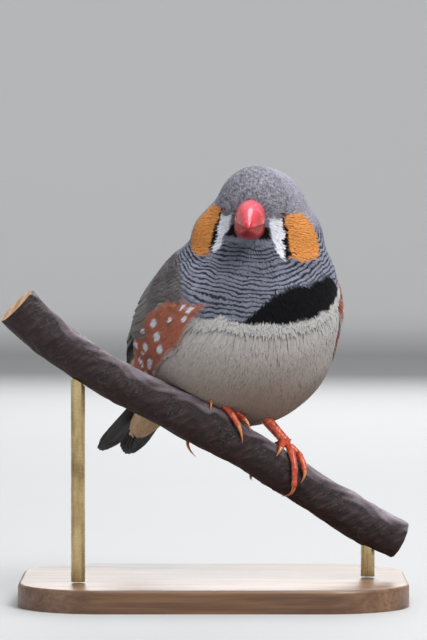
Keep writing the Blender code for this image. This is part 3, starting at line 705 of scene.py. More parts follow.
dressed_bm = dressed_form()
DRESSED = BVHTree.FromBMesh(dressed_bm)
print("dressed outline:", len(dressed_bm.verts), "points")

# %% [markdown]
# ## The markings
# A cock zebra finch wears a whole map of markings: an orange cheek patch, a black tear line
# under the eye, a white stripe and a black edge beside the bill, fine wavy bars on throat and
# chest, a black breast band, a creamy belly, and chestnut flanks with white spots. An image
# would be one way. Here each marking is a small rule about place on the head or body, so skin
# and feathers read the same colours at any detail. The rules give every point a colour and a
# share of barring, kept as attributes of the mesh.

# %% Wobble, so that no edge is ruled
def wobble(points, size, seed):
    """Smooth values between -1 and 1 that change over about this many millimetres."""
    rng = np.random.default_rng(seed)
    total = np.zeros(len(points))
    for _ in range(7):
        direction = rng.normal(size=3)
        direction /= np.linalg.norm(direction)
        turn = rng.uniform(0, 2 * math.pi)
        total += np.sin(points @ direction * (2 * math.pi / size) * rng.uniform(0.6, 1.5) + turn)
    return total / 3.5


def laid(colours, share, colour):
    """Lay a colour over others by a share at each point."""
    share = np.clip(share, 0.0, 1.0)[:, None]
    return colours * (1.0 - share) + np.array(colour) * share


COLOURS = {
    "crown": (0.205, 0.199, 0.236),
    "crown_side": (0.30, 0.29, 0.345),
    "crown_dark": (0.070, 0.064, 0.072),
    "nape": (0.180, 0.172, 0.188),
    "back": (0.135, 0.112, 0.098),
    "shoulder": (0.130, 0.117, 0.120),
    "rump": (0.045, 0.04, 0.038),
    "cheek": (0.58, 0.235, 0.065),
    "white": (0.70, 0.71, 0.77),
    "black": (0.004, 0.004, 0.005),
    # the throat's grey, made darker in part as painted shade under the bill
    "throat": (0.105, 0.114, 0.150),
    "breast": (0.255, 0.270, 0.345),
    "belly": (0.50, 0.50, 0.495),
    # the low belly's warm brown, made darker in part as painted shade
    "belly_low_and_shade": (0.225, 0.160, 0.122),
    "vent": (0.52, 0.36, 0.225),
    "chestnut": (0.40, 0.135, 0.085),
    "flank_dark": (0.20, 0.095, 0.070),
}
print("colours:", ", ".join(COLOURS))

# %% The map of markings
def places(points):
    """Where points lie on the head (turn round it, height) and body (along it, turn, reach)."""
    h, b = local(TO_HEAD, points), local(TO_BODY, points)
    head_turn = np.degrees(np.arctan2(h[:, 1] - FACE_MIDDLE, h[:, 0] + 2.0))
    body_turn = np.degrees(np.arctan2(b[:, 1], b[:, 2] - 2.0))
    return h, head_turn, b[:, 0], body_turn


def flank_share(along, turn, points):
    """1 inside the flank patches, which run back under the wings' lower edges."""
    left = turn > 0
    low = np.where(left, 131.0 - 0.9 * np.clip(7.0 - along, 0.0, 24.0), 110.0) + 3.0 * wobble(points, 7.0, 11)
    front = np.where(left, 18.0, 8.5 + 0.30 * (np.abs(turn) - 93.0)) + 1.2 * wobble(points, 5.0, 12)
    high = np.where(along > 2.0, 88.0, 84.0) + 2.0 * wobble(points, 4.0, 13)
    inside = softened(high - 3.0, high + 2.0, np.abs(turn))
    inside = inside * (1.0 - softened(low - 3.0, low + 3.0, np.abs(turn)))
    return inside * (1.0 - softened(front - 1.5, front + 1.0, along)) * softened(-20.0, -17.0, along)


# white drops of the right flank as seen from the front (x, z), and rows of them elsewhere
SPOTS_SEEN = (
    (-17.1, 59.4), (-14.9, 58.5), (-11.8, 57.9), (-12.5, 60.7), (-16.8, 56.4), (-14.3, 55.6),
    (-11.2, 55.2), (-17.1, 52.2), (-15.1, 51.8), (-13.4, 52.2), (-12.1, 49.8), (-15.6, 49.0),
    (-6.6, 64.2), (-5.1, 63.7), (-6.0, 61.8), (-3.6, 60.9), (-9.0, 61.6),
)
SPOT_SPACING, SPOT_ANGLE = 3.1, 9.5


def spot_places():
    """Middles and sizes of the white drops, on the dressed outline."""
    rng = np.random.default_rng(71)
    found, sizes = [], []
    for x, z in SPOTS_SEEN:
        hit = DRESSED.ray_cast(Vector((x, -100.0, z)), Vector((0.0, 1.0, 0.0)))[0]
        if hit:
            found.append(hit)
            sizes.append(1.0 if x < -10.0 else 0.68)
    for side, first in (("right", -9.0), ("left", 15.5)):
        for i in range(int((first + 18.0) / SPOT_SPACING) + 1):
            for k in range(5):
                along = first - SPOT_SPACING * i + rng.uniform(-0.9, 0.9)
                angle = 87.0 + SPOT_ANGLE * k + (5.0 if i % 2 else 0.0) + rng.uniform(-2.6, 2.6)
                place = np.array(over_surface(DRESSED, side, along, angle, 0.0)[0])
                inside = flank_share(np.array([along]), np.array([angle * SIDES[side]]), place[None])[0]
                if inside > 0.8:
                    found.append(place)
                    sizes.append(rng.uniform(0.55, 0.9))
    return np.array(found), sizes


SPOTS, SPOT_SIZES = spot_places()
BODY_AXIS = np.array(BODY.col[0][:3])
print("white drops:", len(SPOTS))


def spotted(points):
    """1 inside the white drops, which lie lengthwise along the flank."""
    near = np.zeros(len(points))
    for spot, size in zip(SPOTS, SPOT_SIZES):
        d = points - spot
        lengthwise = d @ BODY_AXIS
        away = ((lengthwise / 1.15) ** 2 + ((d**2).sum(1) - lengthwise**2) / 0.85**2) / size**2
        near = np.maximum(near, 1.0 - softened(0.6, 1.3, away))
    return near


def bib_height(points):
    """Height over the bib's lower edge, which dips across the breast."""
    lowered = 0.5 * np.clip(2.0 - points[:, 0], 0.0, 9.0)
    return (points[:, 2] - 76.8 + 0.17 * points[:, 0] - 0.671 * points[:, 1] + lowered) / 1.216


# the white stripe's edges by height on the face, and the band's top by turn round the body
STRIPE_UP = (-9.8, -8.0, -5.5, -3.3, -1.0, 1.2)
STRIPE_IN = (36.0, 32.5, 28.0, 24.0, 21.5, 19.5)
STRIPE_OUT = (37.0, 39.2, 41.0, 42.0, 41.0, 38.0)
BAND_TURN = (125.0, 129.0, 136.0, 150.0, 170.0, 190.0, 205.0, 213.0, 218.0, 222.0, 228.0)
BAND_TOP = (0.0, 3.4, 5.2, 6.0, 6.4, 6.4, 6.4, 6.0, 4.8, 2.6, 0.0)


def cheek_share(side, up, left):
    """1 inside the cheek patch: round behind, cut straight by the tear line in front."""
    tall, low = np.where(left, 4.9, 5.5), np.where(left, 4.45, 4.7)
    reach = np.abs((side - np.where(left, 57.0, 56.0)) / np.where(left, 22.0, 21.0)) ** 2.4
    return 1.0 - softened(0.80, 1.10, reach + np.abs((up + low - 0.03 * (side - 60.0)) / tall) ** 2.4)


def markings(points):
    """Colour, with the crown's mottling as its fourth value, and share of barring for every point."""
    h, turn, along, around = places(points)
    side = np.abs(turn) + 1.3 * wobble(points, 2.4, 3)
    up = h[:, 2] + 0.3 * wobble(points, 2.2, 4)
    over_edge = bib_height(points) + 0.45 * wobble(points, 3.5, 5)
    half_turn = np.abs(around)
    near_head = 1.0 - softened(17.0, 24.0, np.linalg.norm(h - np.array((-2.0, 0.0, -3.0)), axis=1))

    colours = np.tile(np.array(COLOURS["back"]), (len(points), 1))
    colours = laid(colours, softened(2.0, 17.0, along), COLOURS["nape"])
    colours = laid(colours, near_head, COLOURS["crown"])
    colours = laid(colours, near_head * softened(35.0, 80.0, side) * 0.7, COLOURS["crown_side"])
    by_bill = near_head * (1.0 - softened(2.0, 6.5, from_bill(points)))
    colours = laid(colours, by_bill * 0.75, COLOURS["crown_dark"])

    # throat and chest, from the chin down to the bib's edge
    front = softened(52.0, 74.0, half_turn + 0.9 * np.clip(20.0 - along, -20, 0)) * softened(8.0, 12.0, along)
    chin = near_head * softened(7.6, 9.2, -up) * softened(-5.0, 0.0, h[:, 0])
    bib = softened(-0.4, 0.4, over_edge) * np.maximum(front, chin)
    bib = np.maximum(bib, near_head * (1.0 - softened(22.0, 30.0, side)) * softened(4.4, 5.4, -up))
    colours = laid(colours, bib, COLOURS["throat"])
    colours = laid(colours, bib * (1.0 - softened(4.0, 16.0, over_edge)), COLOURS["breast"])
    colours = laid(colours, bib * softened(50.0, 85.0, side) * 0.5, COLOURS["breast"])
    # painted shade under the bill: the middle of the throat is darkened again with the throat colour
    colours = laid(colours, bib * (1.0 - softened(16.0, 42.0, side)) * 0.55, COLOURS["throat"])
    barred = bib * np.maximum(softened(5.6, 7.4, -up), softened(28.0, 40.0, side))
    colours = laid(colours, (bib - barred) * 0.5, COLOURS["breast"])

    # belly below the bib, browner and darker lower down, partly its own warm tone and partly painted shade,
    # and cream under the tail
    below = (1.0 - softened(-0.4, 0.4, over_edge)) * softened(78.0, 100.0, half_turn)
    colours = laid(colours, below, COLOURS["belly"])
    # partly painted shade: browner and darker towards the bottom, by height
    colours = laid(colours, below * (1.0 - softened(40.0, 67.0, points[:, 2])) * 0.95, COLOURS["belly_low_and_shade"])
    b = local(TO_BODY, points)
    behind = 1.0 - softened(-21.0, -14.0, along)
    under = 1.0 - softened(5.2, 7.2, b[:, 2])
    colours = laid(colours, behind * under, COLOURS["vent"])
    colours = laid(colours, (1.0 - softened(-15.0, -9.0, along)) * (1.0 - under), COLOURS["rump"])

    # black breast band, deepest at the middle of the breast
    top = np.interp(around % 360.0, BAND_TURN, BAND_TOP, left=-3.0, right=-3.0)
    band = softened(-0.4, 0.3, over_edge) * (1.0 - softened(top - 0.5, top + 0.6, over_edge)) * (top > 0)
    band = band * (along > 5.0)
    colours = laid(colours, band, COLOURS["black"])
    barred = barred * (1.0 - band)

    flank = flank_share(along, around, points)
    colours = laid(colours, flank, COLOURS["chestnut"])
    streaked = flank * softened(-0.1, 0.9, wobble(points, 2.6, 15)) * 0.55
    colours = laid(colours, streaked, COLOURS["flank_dark"])
    colours = laid(colours, flank * spotted(points), COLOURS["white"])
    barred = barred * (1.0 - flank)

    # face: cheek, white stripe, tear line and the black beside the lower bill
    inner, outer = np.interp(up, STRIPE_UP, STRIPE_IN), np.interp(up, STRIPE_UP, STRIPE_OUT)
    cheek = cheek_share(side, up, turn > 0) * softened(2.0, 4.5, side - outer) * near_head
    colours = laid(colours, cheek, COLOURS["cheek"])
    stripe = softened(-0.6, 0.9, side - inner) * (1.0 - softened(-0.8, 0.6, side - outer))
    stripe = stripe * (1.0 - softened(-1.6, 0.2, up)) * softened(-9.4, -8.4, up) * near_head
    colours = laid(colours, stripe, COLOURS["white"])
    tear = softened(-0.4, 0.6, side - outer) * (1.0 - softened(3.2, 4.6, side - outer))
    tear = tear * (1.0 - softened(-0.2, 0.5, up)) * softened(-9.2, -8.2, up) * near_head
    colours = laid(colours, tear, COLOURS["black"])
    edge = softened(12.0, 14.0, side) * (1.0 - softened(-1.4, -0.2, side - inner))
    edge = edge * (1.0 - softened(-2.6, -1.8, up)) * softened(-5.6, -4.9, up) * near_head
    colours = laid(colours, edge, COLOURS["black"])
    face = np.clip(stripe + tear + edge + cheek, 0.0, 1.0)
    barred = barred * (1.0 - face)
    crown = near_head * (1.0 - 0.5 * softened(35.0, 80.0, side))
    crown = crown * (1.0 - bib) * (1.0 - below) * (1.0 - face)
    return np.clip(np.column_stack([colours, crown]), 0.0, 1.0), np.clip(barred, 0.0, 1.0)


def paint(mesh, colours, details):
    """Keep colours and details (random, along, across, barring) on a mesh's points."""
    for name, values in (("plumage", colours), ("detail", details)):
        layer = mesh.color_attributes.new(name, "FLOAT_COLOR", "POINT")
        full = np.ones((len(mesh.vertices), 4), dtype=np.float32)
        full[:, : values.shape[1]] = values
        layer.data.foreach_set("color", full.ravel())


colours, barred = markings(skin_points)
print("barred share %.2f" % barred.mean())

# %% The plumage finish
THROAT_PLACE = (0.0085, -0.0120, 0.0865)


def plumage_material(name):
    """Feathers: the map's colours, wavy bars on the chest, flecks on the crown and fine barbs."""
    made, tree, shader = new_material(name, Roughness=0.8, Specular_IOR_Level=0.08,
                                      Sheen_Weight=0.03, Sheen_Roughness=0.5)
    marks = add(tree, "Attribute", attribute_name="plumage").outputs
    base, crown = marks["Color"], marks["Alpha"]
    detail, barring = details_of(tree)
    coords = add(tree, "TexCoord").outputs["Object"]

    warp = noise(tree, coords, 110.0, 2.0)
    ripple = noise(tree, coords, 480.0, 2.0)
    from_throat = add(tree, "VectorMath", {0: coords, 1: THROAT_PLACE}, operation="DISTANCE").outputs["Value"]
    ruled = maths(tree, "POWER", maths(tree, "MULTIPLY", from_throat, 60.0), 0.86)
    phase = maths(tree, "MULTIPLY_ADD", warp, 4.0, maths(tree, "MULTIPLY", ruled, 21.0))
    phase = maths(tree, "MULTIPLY_ADD", ripple, 1.2, phase)
    phase = maths(tree, "MULTIPLY_ADD", detail["Red"], 0.16, phase)
    wave = maths(tree, "SINE", maths(tree, "MULTIPLY", phase, 2 * math.pi))
    level = maths(tree, "MULTIPLY_ADD", noise(tree, coords, 330.0, 4.0, 0.65), 4.2, -1.15)
    bars = maths(tree, "MULTIPLY_ADD", wave, 1.3, level, clamp=True)
    barred_colour = mixed(tree, bars, (0.028, 0.030, 0.040), base)
    colour = mixed(tree, barring, base, barred_colour)
    flecks = maths(tree, "MULTIPLY_ADD", noise(tree, coords, 1600.0, 3.0, 0.6), 2.9, -0.58)
    colour = mixed(tree, crown, colour, shaded(tree, colour, maths(tree, "MAXIMUM", flecks, 0.3)))

    lighter = maths(tree, "MULTIPLY_ADD", detail["Red"], 0.20, 0.90)
    # each tuft is darker towards its root and lighter at its tip
    darker_at_root = maths(tree, "MULTIPLY_ADD", detail["Green"], 0.16, 0.88)
    fine = maths(tree, "MULTIPLY_ADD", noise(tree, coords, 3200.0, 2.0), 0.4, 0.8)
    colour = shaded(tree, colour, maths(tree, "MULTIPLY", maths(tree, "MULTIPLY", lighter, darker_at_root), fine))
    roughness = maths(tree, "MULTIPLY_ADD", detail["Red"], 0.2, 0.7)
    feed(tree, shader, colour, roughness, (fine, 0.00004, 0.4))
    return made


PLUMAGE = plumage_material("plumage")

# %% Dress the skin
def dress_skin():
    """The skin with the same markings as the feathers over it."""
    skin = object_from(skin_bm.copy(), "skin")
    plain = np.zeros(len(barred))
    paint(skin.data, colours, np.stack([plain + 0.35, plain + 0.15, plain, barred], 1))
    finished(skin, PLUMAGE, ["head", "neck", "torso"])


dress_skin()

# %% [markdown]
# ## The coat
# Contour feathers are small, soft and loose at the tip, so from a step away the coat looks like
# fine silk drawn back from the bill. Particle hair would be quick, but it is lost when the model
# leaves Blender, so every tuft is a thin closed blade of mesh. Roots are scattered evenly by
# keeping one per cell of a fine grid, and each blade follows the lie of the coat, from the bill
# back over the head and down to the tail, hugging the outline as it goes.

# %% Eye places, which the coat keeps clear of
EYE_PLACE, EYE_SHIFT, EYE_TURN, SLIT_SLOPE = Vector((5.9, 5.9, 0.3)), -0.5, 60.0, -14.0


def eye_axes(side):
    """Axes at an eye: outwards, along the slit and across it."""
    place = Vector((EYE_PLACE.x, SIDES[side] * EYE_PLACE.y + EYE_SHIFT, EYE_PLACE.z))
    turn = Matrix.Rotation(math.radians(SIDES[side] * EYE_TURN), 4, "Z")
    slope = Matrix.Rotation(math.radians(SIDES[side] * SLIT_SLOPE), 4, "X")
    return HEAD @ Matrix.Translation(place) @ turn @ slope


print("eyes at", [[round(v, 1) for v in eye_axes(side).translation] for side in SIDES])

# %% Lie of the coat
BILL_POINT = np.array(HEAD @ (BILL_ROOT + Vector((1.5, 0.0, -0.6))))
TAIL_POINT = np.array(BODY @ Vector((-40.0, 0.0, 4.0)))


def lie(points, normals):
    """The direction that feathers point in, along the surface."""
    away, towards = points - BILL_POINT, TAIL_POINT - points
    away /= np.linalg.norm(away, axis=1, keepdims=True) ** 1.7 + 1e-9
    towards /= np.linalg.norm(towards, axis=1, keepdims=True) ** 1.55 + 1e-9
    flow = away + towards
    flow -= normals * (flow * normals).sum(1, keepdims=True)
    return flow / (np.linalg.norm(flow, axis=1, keepdims=True) + 1e-9)


def nearest(tree, points):
    """The nearest places on a surface and the normals there."""
    found = [tree.find_nearest(point) for point in points]
    return np.array([f[0] for f in found]), np.array([f[1] for f in found])


print("coat runs from", BILL_POINT.round(1), "to", TAIL_POINT.round(1))

# %% Regions of the coat, each with its own unwrap
def wing_share(along, around):
    """Place across the folded wing, from 0 at its upper edge to 1 at its lower, and along it."""
    t = (WING_FRONT - along) / (WING_FRONT - WING_TIP)
    steps = np.linspace(0.0, 1.0, 41)
    upper = np.interp(t, steps, [smooth_value(WING_UPPER_EDGE, k) for k in steps])
    lower = np.interp(t, steps, [smooth_value(WING_LOWER_EDGE, k) for k in steps])
    return t, (np.abs(around) - upper) / (lower - upper)


REGION_NAMES = (
    "coat_head", "coat_chest", "coat_belly", "coat_back",
    "coat_rump", "coat_shoulder", "coat_flank", "coat_face",
)
CROWN, CHEST, BELLY, BACK, RUMP, SHOULDER, FLANK, FACE = range(len(REGION_NAMES))
UNDER_WING = -1


def region_of(points):
    """Which coat piece a place belongs to, and where wing feathers cover it."""
    h, _, along, around = places(points)
    region = np.full(len(points), BACK)
    region[(np.abs(around) > 100) & (along > -14)] = BELLY
    region[(bib_height(points) > -1.0) & (np.abs(around) > 40) & (along > 7)] = CHEST
    region[(h[:, 2] > -11.0) & (np.linalg.norm(h, axis=1) < 19.5)] = CROWN
    region[(region == CROWN) & (h[:, 0] > 0.5)] = FACE
    region[along < -17] = RUMP
    off_head = (region != CROWN) & (region != FACE)
    t, across = wing_share(along, around)
    on_wing = (t > 0.0) & (across > -0.05) & (across < 1.06) & off_head & (region != RUMP)
    region[on_wing & (t > 0.05)] = SHOULDER
    region[on_wing & (t > 0.43)] = UNDER_WING
    region[(flank_share(along, around, points) > 0.3) & off_head & (along > -17)] = FLANK
    return region


def region_patch(index):
    """The faces of one region with a flat unwrap that fills the unit square."""
    bm = dressed_bm.copy()
    centres = np.array([face.calc_center_median() for face in bm.faces])
    spare = [face for face, region in zip(bm.faces, region_of(centres)) if region != index]
    bmesh.ops.delete(bm, geom=spare, context="FACES")
    patch = plain_object(bm, "patch")
    mesh = patch.data
    bpy.context.view_layer.objects.active = patch
    patch.select_set(True)
    mesh.uv_layers.new(name="OFBake")
    bpy.ops.object.mode_set(mode="EDIT")
    bpy.ops.mesh.select_all(action="SELECT")
    bpy.ops.uv.smart_project(angle_limit=math.radians(66), island_margin=0.004)
    bpy.ops.object.mode_set(mode="OBJECT")
    corners = np.empty(len(mesh.vertices) * 3)
    mesh.vertices.foreach_get("co", corners)
    uv = np.empty(len(mesh.loops) * 2)
    mesh.uv_layers["OFBake"].data.foreach_get("uv", uv)
    which = np.empty(len(mesh.loops), dtype=np.int32)
    mesh.loops.foreach_get("vertex_index", which)
    triangles = corners.reshape(-1, 3)[which].reshape(-1, 3, 3)
    flat = uv.reshape(-1, 3, 2)
    flat = (flat - flat.min((0, 1))) / (flat.max((0, 1)) - flat.min((0, 1))) * 0.98 + 0.01
    bpy.data.objects.remove(patch)
    return triangles, flat


PATCHES = [region_patch(index) for index in range(len(REGION_NAMES))]
print("faces per region:", [len(triangles) for triangles, _ in PATCHES])

# %% Scatter roots and grow blades
# large primes, which give every cell of the grid its own key
CELL_KEYS = (73856093, 19349663, 83492791)
COAT_CLEARANCE = 0.28


def scattered(triangles, flat, spacing, rng):
    """Roots spread evenly over triangles, with their places in the unwrap and their normals."""
    a, b, c = triangles[:, 0], triangles[:, 1], triangles[:, 2]
    cross = np.cross(b - a, c - a)
    areas = np.linalg.norm(cross, axis=1) / 2
    count = int(areas.sum() / spacing**2 * 5)
    chosen = rng.choice(len(areas), count, p=areas / areas.sum())
    s, t = np.sqrt(rng.random(count)), rng.random(count)
    weights = np.stack([1 - s, s * (1 - t), s * t], 1)
    points = (triangles[chosen] * weights[:, :, None]).sum(1)
    uv = (flat[chosen] * weights[:, :, None]).sum(1)
    normals = (cross / (2 * areas[:, None] + 1e-12))[chosen]
    cells = np.floor(points / spacing + rng.random(3)).astype(np.int64)
    keys = (cells[:, 0] * CELL_KEYS[0]) ^ (cells[:, 1] * CELL_KEYS[1]) ^ (cells[:, 2] * CELL_KEYS[2])
    _, first = np.unique(keys, return_index=True)
    return points[first], uv[first], normals[first]


STATIONS = (0.0, 0.45, 0.82)
WIDTHS = (0.7, 1.0, 0.7)
TUFT_PATCH = 0.003


def blades(name, roots, uv, directions, lengths, widths, lifts, rng):
    """Thin closed blades over the dressed outline, three-sided, tapering to a point."""
    count = len(roots)
    depth = plumage_depth(roots)
    random = rng.random(count)
    steps = (*STATIONS, 1.0)
    rows, facing = [], []
    for k, share in enumerate(steps):
        places_now, normals_now = nearest(DRESSED, roots + directions * (lengths * share)[:, None])
        height = -np.minimum(depth * 0.9, 0.24 * lengths) * (1.0 - share) ** 1.8 + lifts * share
        middle = places_now + normals_now * height[:, None]
        across = np.cross(directions, normals_now)
        across /= np.linalg.norm(across, axis=1, keepdims=True) + 1e-9
        if k == len(steps) - 1:
            rows.append(middle[:, None, :])
            facing.append(normals_now[:, None, :])
            continue
        wide = (widths * WIDTHS[k] / 2)[:, None]
        ridge = middle + normals_now * (0.02 + 0.06 * widths)[:, None]
        rows.append(np.stack([middle - across * wide, ridge, middle + across * wide], 1))
        facing.append(np.stack([normals_now - 0.45 * across, normals_now, normals_now + 0.45 * across], 1))
    points = np.concatenate(rows, 1)
    size = points.shape[1]
    points = off_branch(points.reshape(-1, 3), COAT_CLEARANCE)
    faces = [(0, 2, 1)]
    for k in range(len(STATIONS) - 1):
        p, q = 3 * k, 3 * (k + 1)
        for i, j in ((0, 1), (1, 2), (2, 0)):
            faces += [(p + i, q + j, q + i), (p + i, p + j, q + j)]
    p, tip = 3 * (len(STATIONS) - 1), size - 1
    faces += [(p, p + 1, tip), (p + 1, p + 2, tip), (p + 2, p, tip)]
    faces = (np.array(faces)[None] + (np.arange(count) * size)[:, None, None]).reshape(-1, 3)
    mesh = bpy.data.meshes.new(name)
    mesh.vertices.add(len(points))
    mesh.vertices.foreach_set("co", (points * MM).ravel())
    mesh.loops.add(faces.size)
    mesh.loops.foreach_set("vertex_index", faces.ravel().astype(np.int32))
    mesh.polygons.add(len(faces))
    mesh.polygons.foreach_set("loop_start", np.arange(0, faces.size, 3, dtype=np.int32))
    mesh.update(calc_edges=True)

    grown = np.repeat(roots + directions * (lengths * 0.75)[:, None], size, 0)
    hue, bar = markings(grown)
    share = np.tile(np.concatenate([np.repeat(STATIONS, 3), [1.0]]), count)
    cross_share = np.tile(np.concatenate([np.tile((0.0, 0.5, 1.0), len(STATIONS)), [0.5]]), count)
    paint(mesh, hue, np.stack([np.repeat(random, size), share, cross_share, bar], 1))
    patch = np.stack([share - 0.5, cross_share - 0.5], 1) * TUFT_PATCH
    corners = (np.repeat(uv, size, 0) + patch)[faces.ravel()]
    mesh.uv_layers.new(name="OFBake").data.foreach_set("uv", np.clip(corners, 0, 1).ravel())
    finished(linked(name, mesh), PLUMAGE)
    normals = np.concatenate(facing, 1).reshape(-1, 3)
    normals /= np.linalg.norm(normals, axis=1, keepdims=True)
    mesh.normals_split_custom_set_from_vertices(normals)


# spacing between roots, length and width of a blade, in millimetres
COAT = {
    "coat_head": (0.31, 1.9, 0.32),
    "coat_chest": (0.33, 2.8, 0.42),
    "coat_belly": (0.40, 5.5, 0.62),
    "coat_back": (0.42, 3.6, 0.60),
    "coat_rump": (0.48, 4.6, 0.60),
    "coat_shoulder": (0.45, 3.4, 0.50),
    "coat_flank": (0.30, 2.6, 0.30),
    "coat_face": (0.28, 1.7, 0.27),
}
# how far strands stray from the lie, and how much they may stand out, in millimetres
STRAY = {
    "coat_head": (0.16, 0.08),
    "coat_chest": (0.12, 0.08),
    "coat_belly": (0.06, 0.03),
    "coat_back": (0.12, 0.2),
    "coat_rump": (0.12, 0.2),
    "coat_shoulder": (0.07, 0.12),
    "coat_flank": (0.12, 0.2),
    "coat_face": (0.14, 0.06),
}
RAISED = {"coat_flank": 0.45, "coat_shoulder": 0.15}
BY_BRANCH = np.array([on_branch(x, a, 1.0) for x, a in ((0.0, 0.0), (14.0, 0.0))])


def bare(roots):
    """True where no tuft may stand: at the bill's root and on the lids."""
    found = from_bill(roots) <= 2.2
    for axes in (eye_axes(side) for side in SIDES):
        e = local(np.array(axes.inverted()), roots)
        found |= (e[:, 1] / 1.35) ** 2 + (e[:, 2] / 0.72) ** 2 + (e[:, 0] / 3.0) ** 2 <= 1.0
    return found


def recolour_shoulder(roots):
    """The shoulder's tufts are plain grey brown, clouded a little."""
    layer = bpy.data.objects["coat_shoulder"].data.color_attributes["plumage"].data
    values = np.empty(len(layer) * 4, dtype=np.float32)
    layer.foreach_get("color", values)
    values = values.reshape(-1, 4)
    values[:, 3] = 0.0
    clouds = 0.9 + 0.25 * wobble(np.repeat(roots, len(layer) // len(roots), 0), 6.0, 31)
    values[:, :3] = np.array(COLOURS["shoulder"]) * clouds[:, None]
    layer.foreach_set("color", values.ravel())


def grow_coat(index, name):
    """Scatter one region's roots and grow its tufts."""
    spacing, length, width = COAT[name]
    stray_most, lift_most = STRAY[name]
    rng = np.random.default_rng(40 + index)
    roots, uv, normals = scattered(*PATCHES[index], spacing, rng)
    keep = ~bare(roots)
    roots, uv, normals = roots[keep], uv[keep], normals[keep]
    directions = lie(roots, normals)
    stray = rng.normal(size=roots.shape) * stray_most
    directions += stray - normals * (stray * normals).sum(1, keepdims=True)
    directions /= np.linalg.norm(directions, axis=1, keepdims=True)
    feet = np.linalg.norm(roots[:, None, :] - BY_BRANCH[None], axis=2).min(1)
    short = 0.45 + 0.55 * softened(2.0, 12.0, from_bill(roots))
    short = short * (0.45 + 0.55 * softened(4.0, 11.0, feet))
    lengths = length * short * rng.uniform(0.8, 1.2, len(roots))
    widths = width * (0.6 + 0.4 * short) * rng.uniform(0.8, 1.25, len(roots))
    if name == "coat_chest":
        lengths *= np.where(bib_height(roots) < 2.5, rng.uniform(0.3, 1.0, len(roots)), 1.0)
    lifts = rng.uniform(-0.05, lift_most, len(roots)) * (0.4 + 0.6 * short) + RAISED.get(name, 0.0)
    if name == "coat_face":
        h, turn, _, _ = places(roots)
        lifts += 0.35 * cheek_share(np.abs(turn), h[:, 2], turn > 0)
    blades(name, roots, uv, directions, lengths, widths, lifts, rng)
    if name == "coat_shoulder":
        recolour_shoulder(roots)


for index, name in enumerate(REGION_NAMES):
    grow_coat(index, name)

# %% [markdown]
# ## Wings and tail
# Flight feathers are stiff vanes: a shaft down the middle and barbs zipped into a smooth blade.
# Folded, they stack like the leaves of a fan, with rows of shorter coverts over their roots.
# A plane with a texture would be flat at its edges, so each vane is a small grid, cambered
# across, with a raised shaft and a rounded tip, and given thickness at the end. The places are
# laid out on the body's own surface, by distance along the body and by angle round it.

# %% One vane
ALONG, ACROSS, VANE_THICKNESS = 13, 6, 0.09
VANE_SHAPE = (0.42, 0.72, 0.9, 0.98, 1.0, 1.0, 0.98, 0.95, 0.9, 0.83, 0.72, 0.54, 0.3, 0.06)


def vanes(name, listed, material, nodes, seed, shape=VANE_SHAPE):
    """Many vanes in one mesh. Each is (place, half width, tilt, colour, share of notches)."""
    rng = np.random.default_rng(seed)
    points, faces, hue, detail = [], [], [], []
    for place, half, tilt, colour, split in listed:
        start, random = len(points), rng.random()
        notches = rng.random(ALONG + 1) < split
        for i in range(ALONG + 1):
            share = i / ALONG
            wide = half * smooth_value(shape, share)
            for j in range(ACROSS + 1):
                c = 2 * j / ACROSS - 1
                edge = wide * (1.0 - (0.22 if notches[i] and abs(c) == 1 and 0.3 < share < 0.95 else 0.0))
                round_tip = share - 0.06 * c * c * max(0.0, (share - 0.8) / 0.2)
                ridge = 0.12 * (1.0 - share) * math.exp(-(c / 0.2) ** 2)
                height = tilt * c - 0.22 * half * c * c * 0.4 + ridge
                points.append(place(round_tip, c * edge, height))
                detail.append((random, share, (c + 1) / 2, 0.0))
                hue.append(colour)
        for i in range(ALONG):
            for j in range(ACROSS):
                p = start + i * (ACROSS + 1) + j
                faces.append((p, p + 1, p + ACROSS + 2, p + ACROSS + 1))
    mesh = bpy.data.meshes.new(name)
    mesh.from_pydata([tuple(p * MM) for p in points], [], faces)
    paint(mesh, np.array(hue, dtype=float), np.array(detail))
    made = linked(name, mesh)
    bm = bmesh.new()
    bm.from_mesh(mesh)
    bmesh.ops.recalc_face_normals(bm, faces=bm.faces)
    bm.to_mesh(mesh)
    bm.free()
    solid = made.modifiers.new("thickness", "SOLIDIFY")
    solid.thickness, solid.offset = VANE_THICKNESS * MM, 0.0
    finished(applied(made), material, nodes)


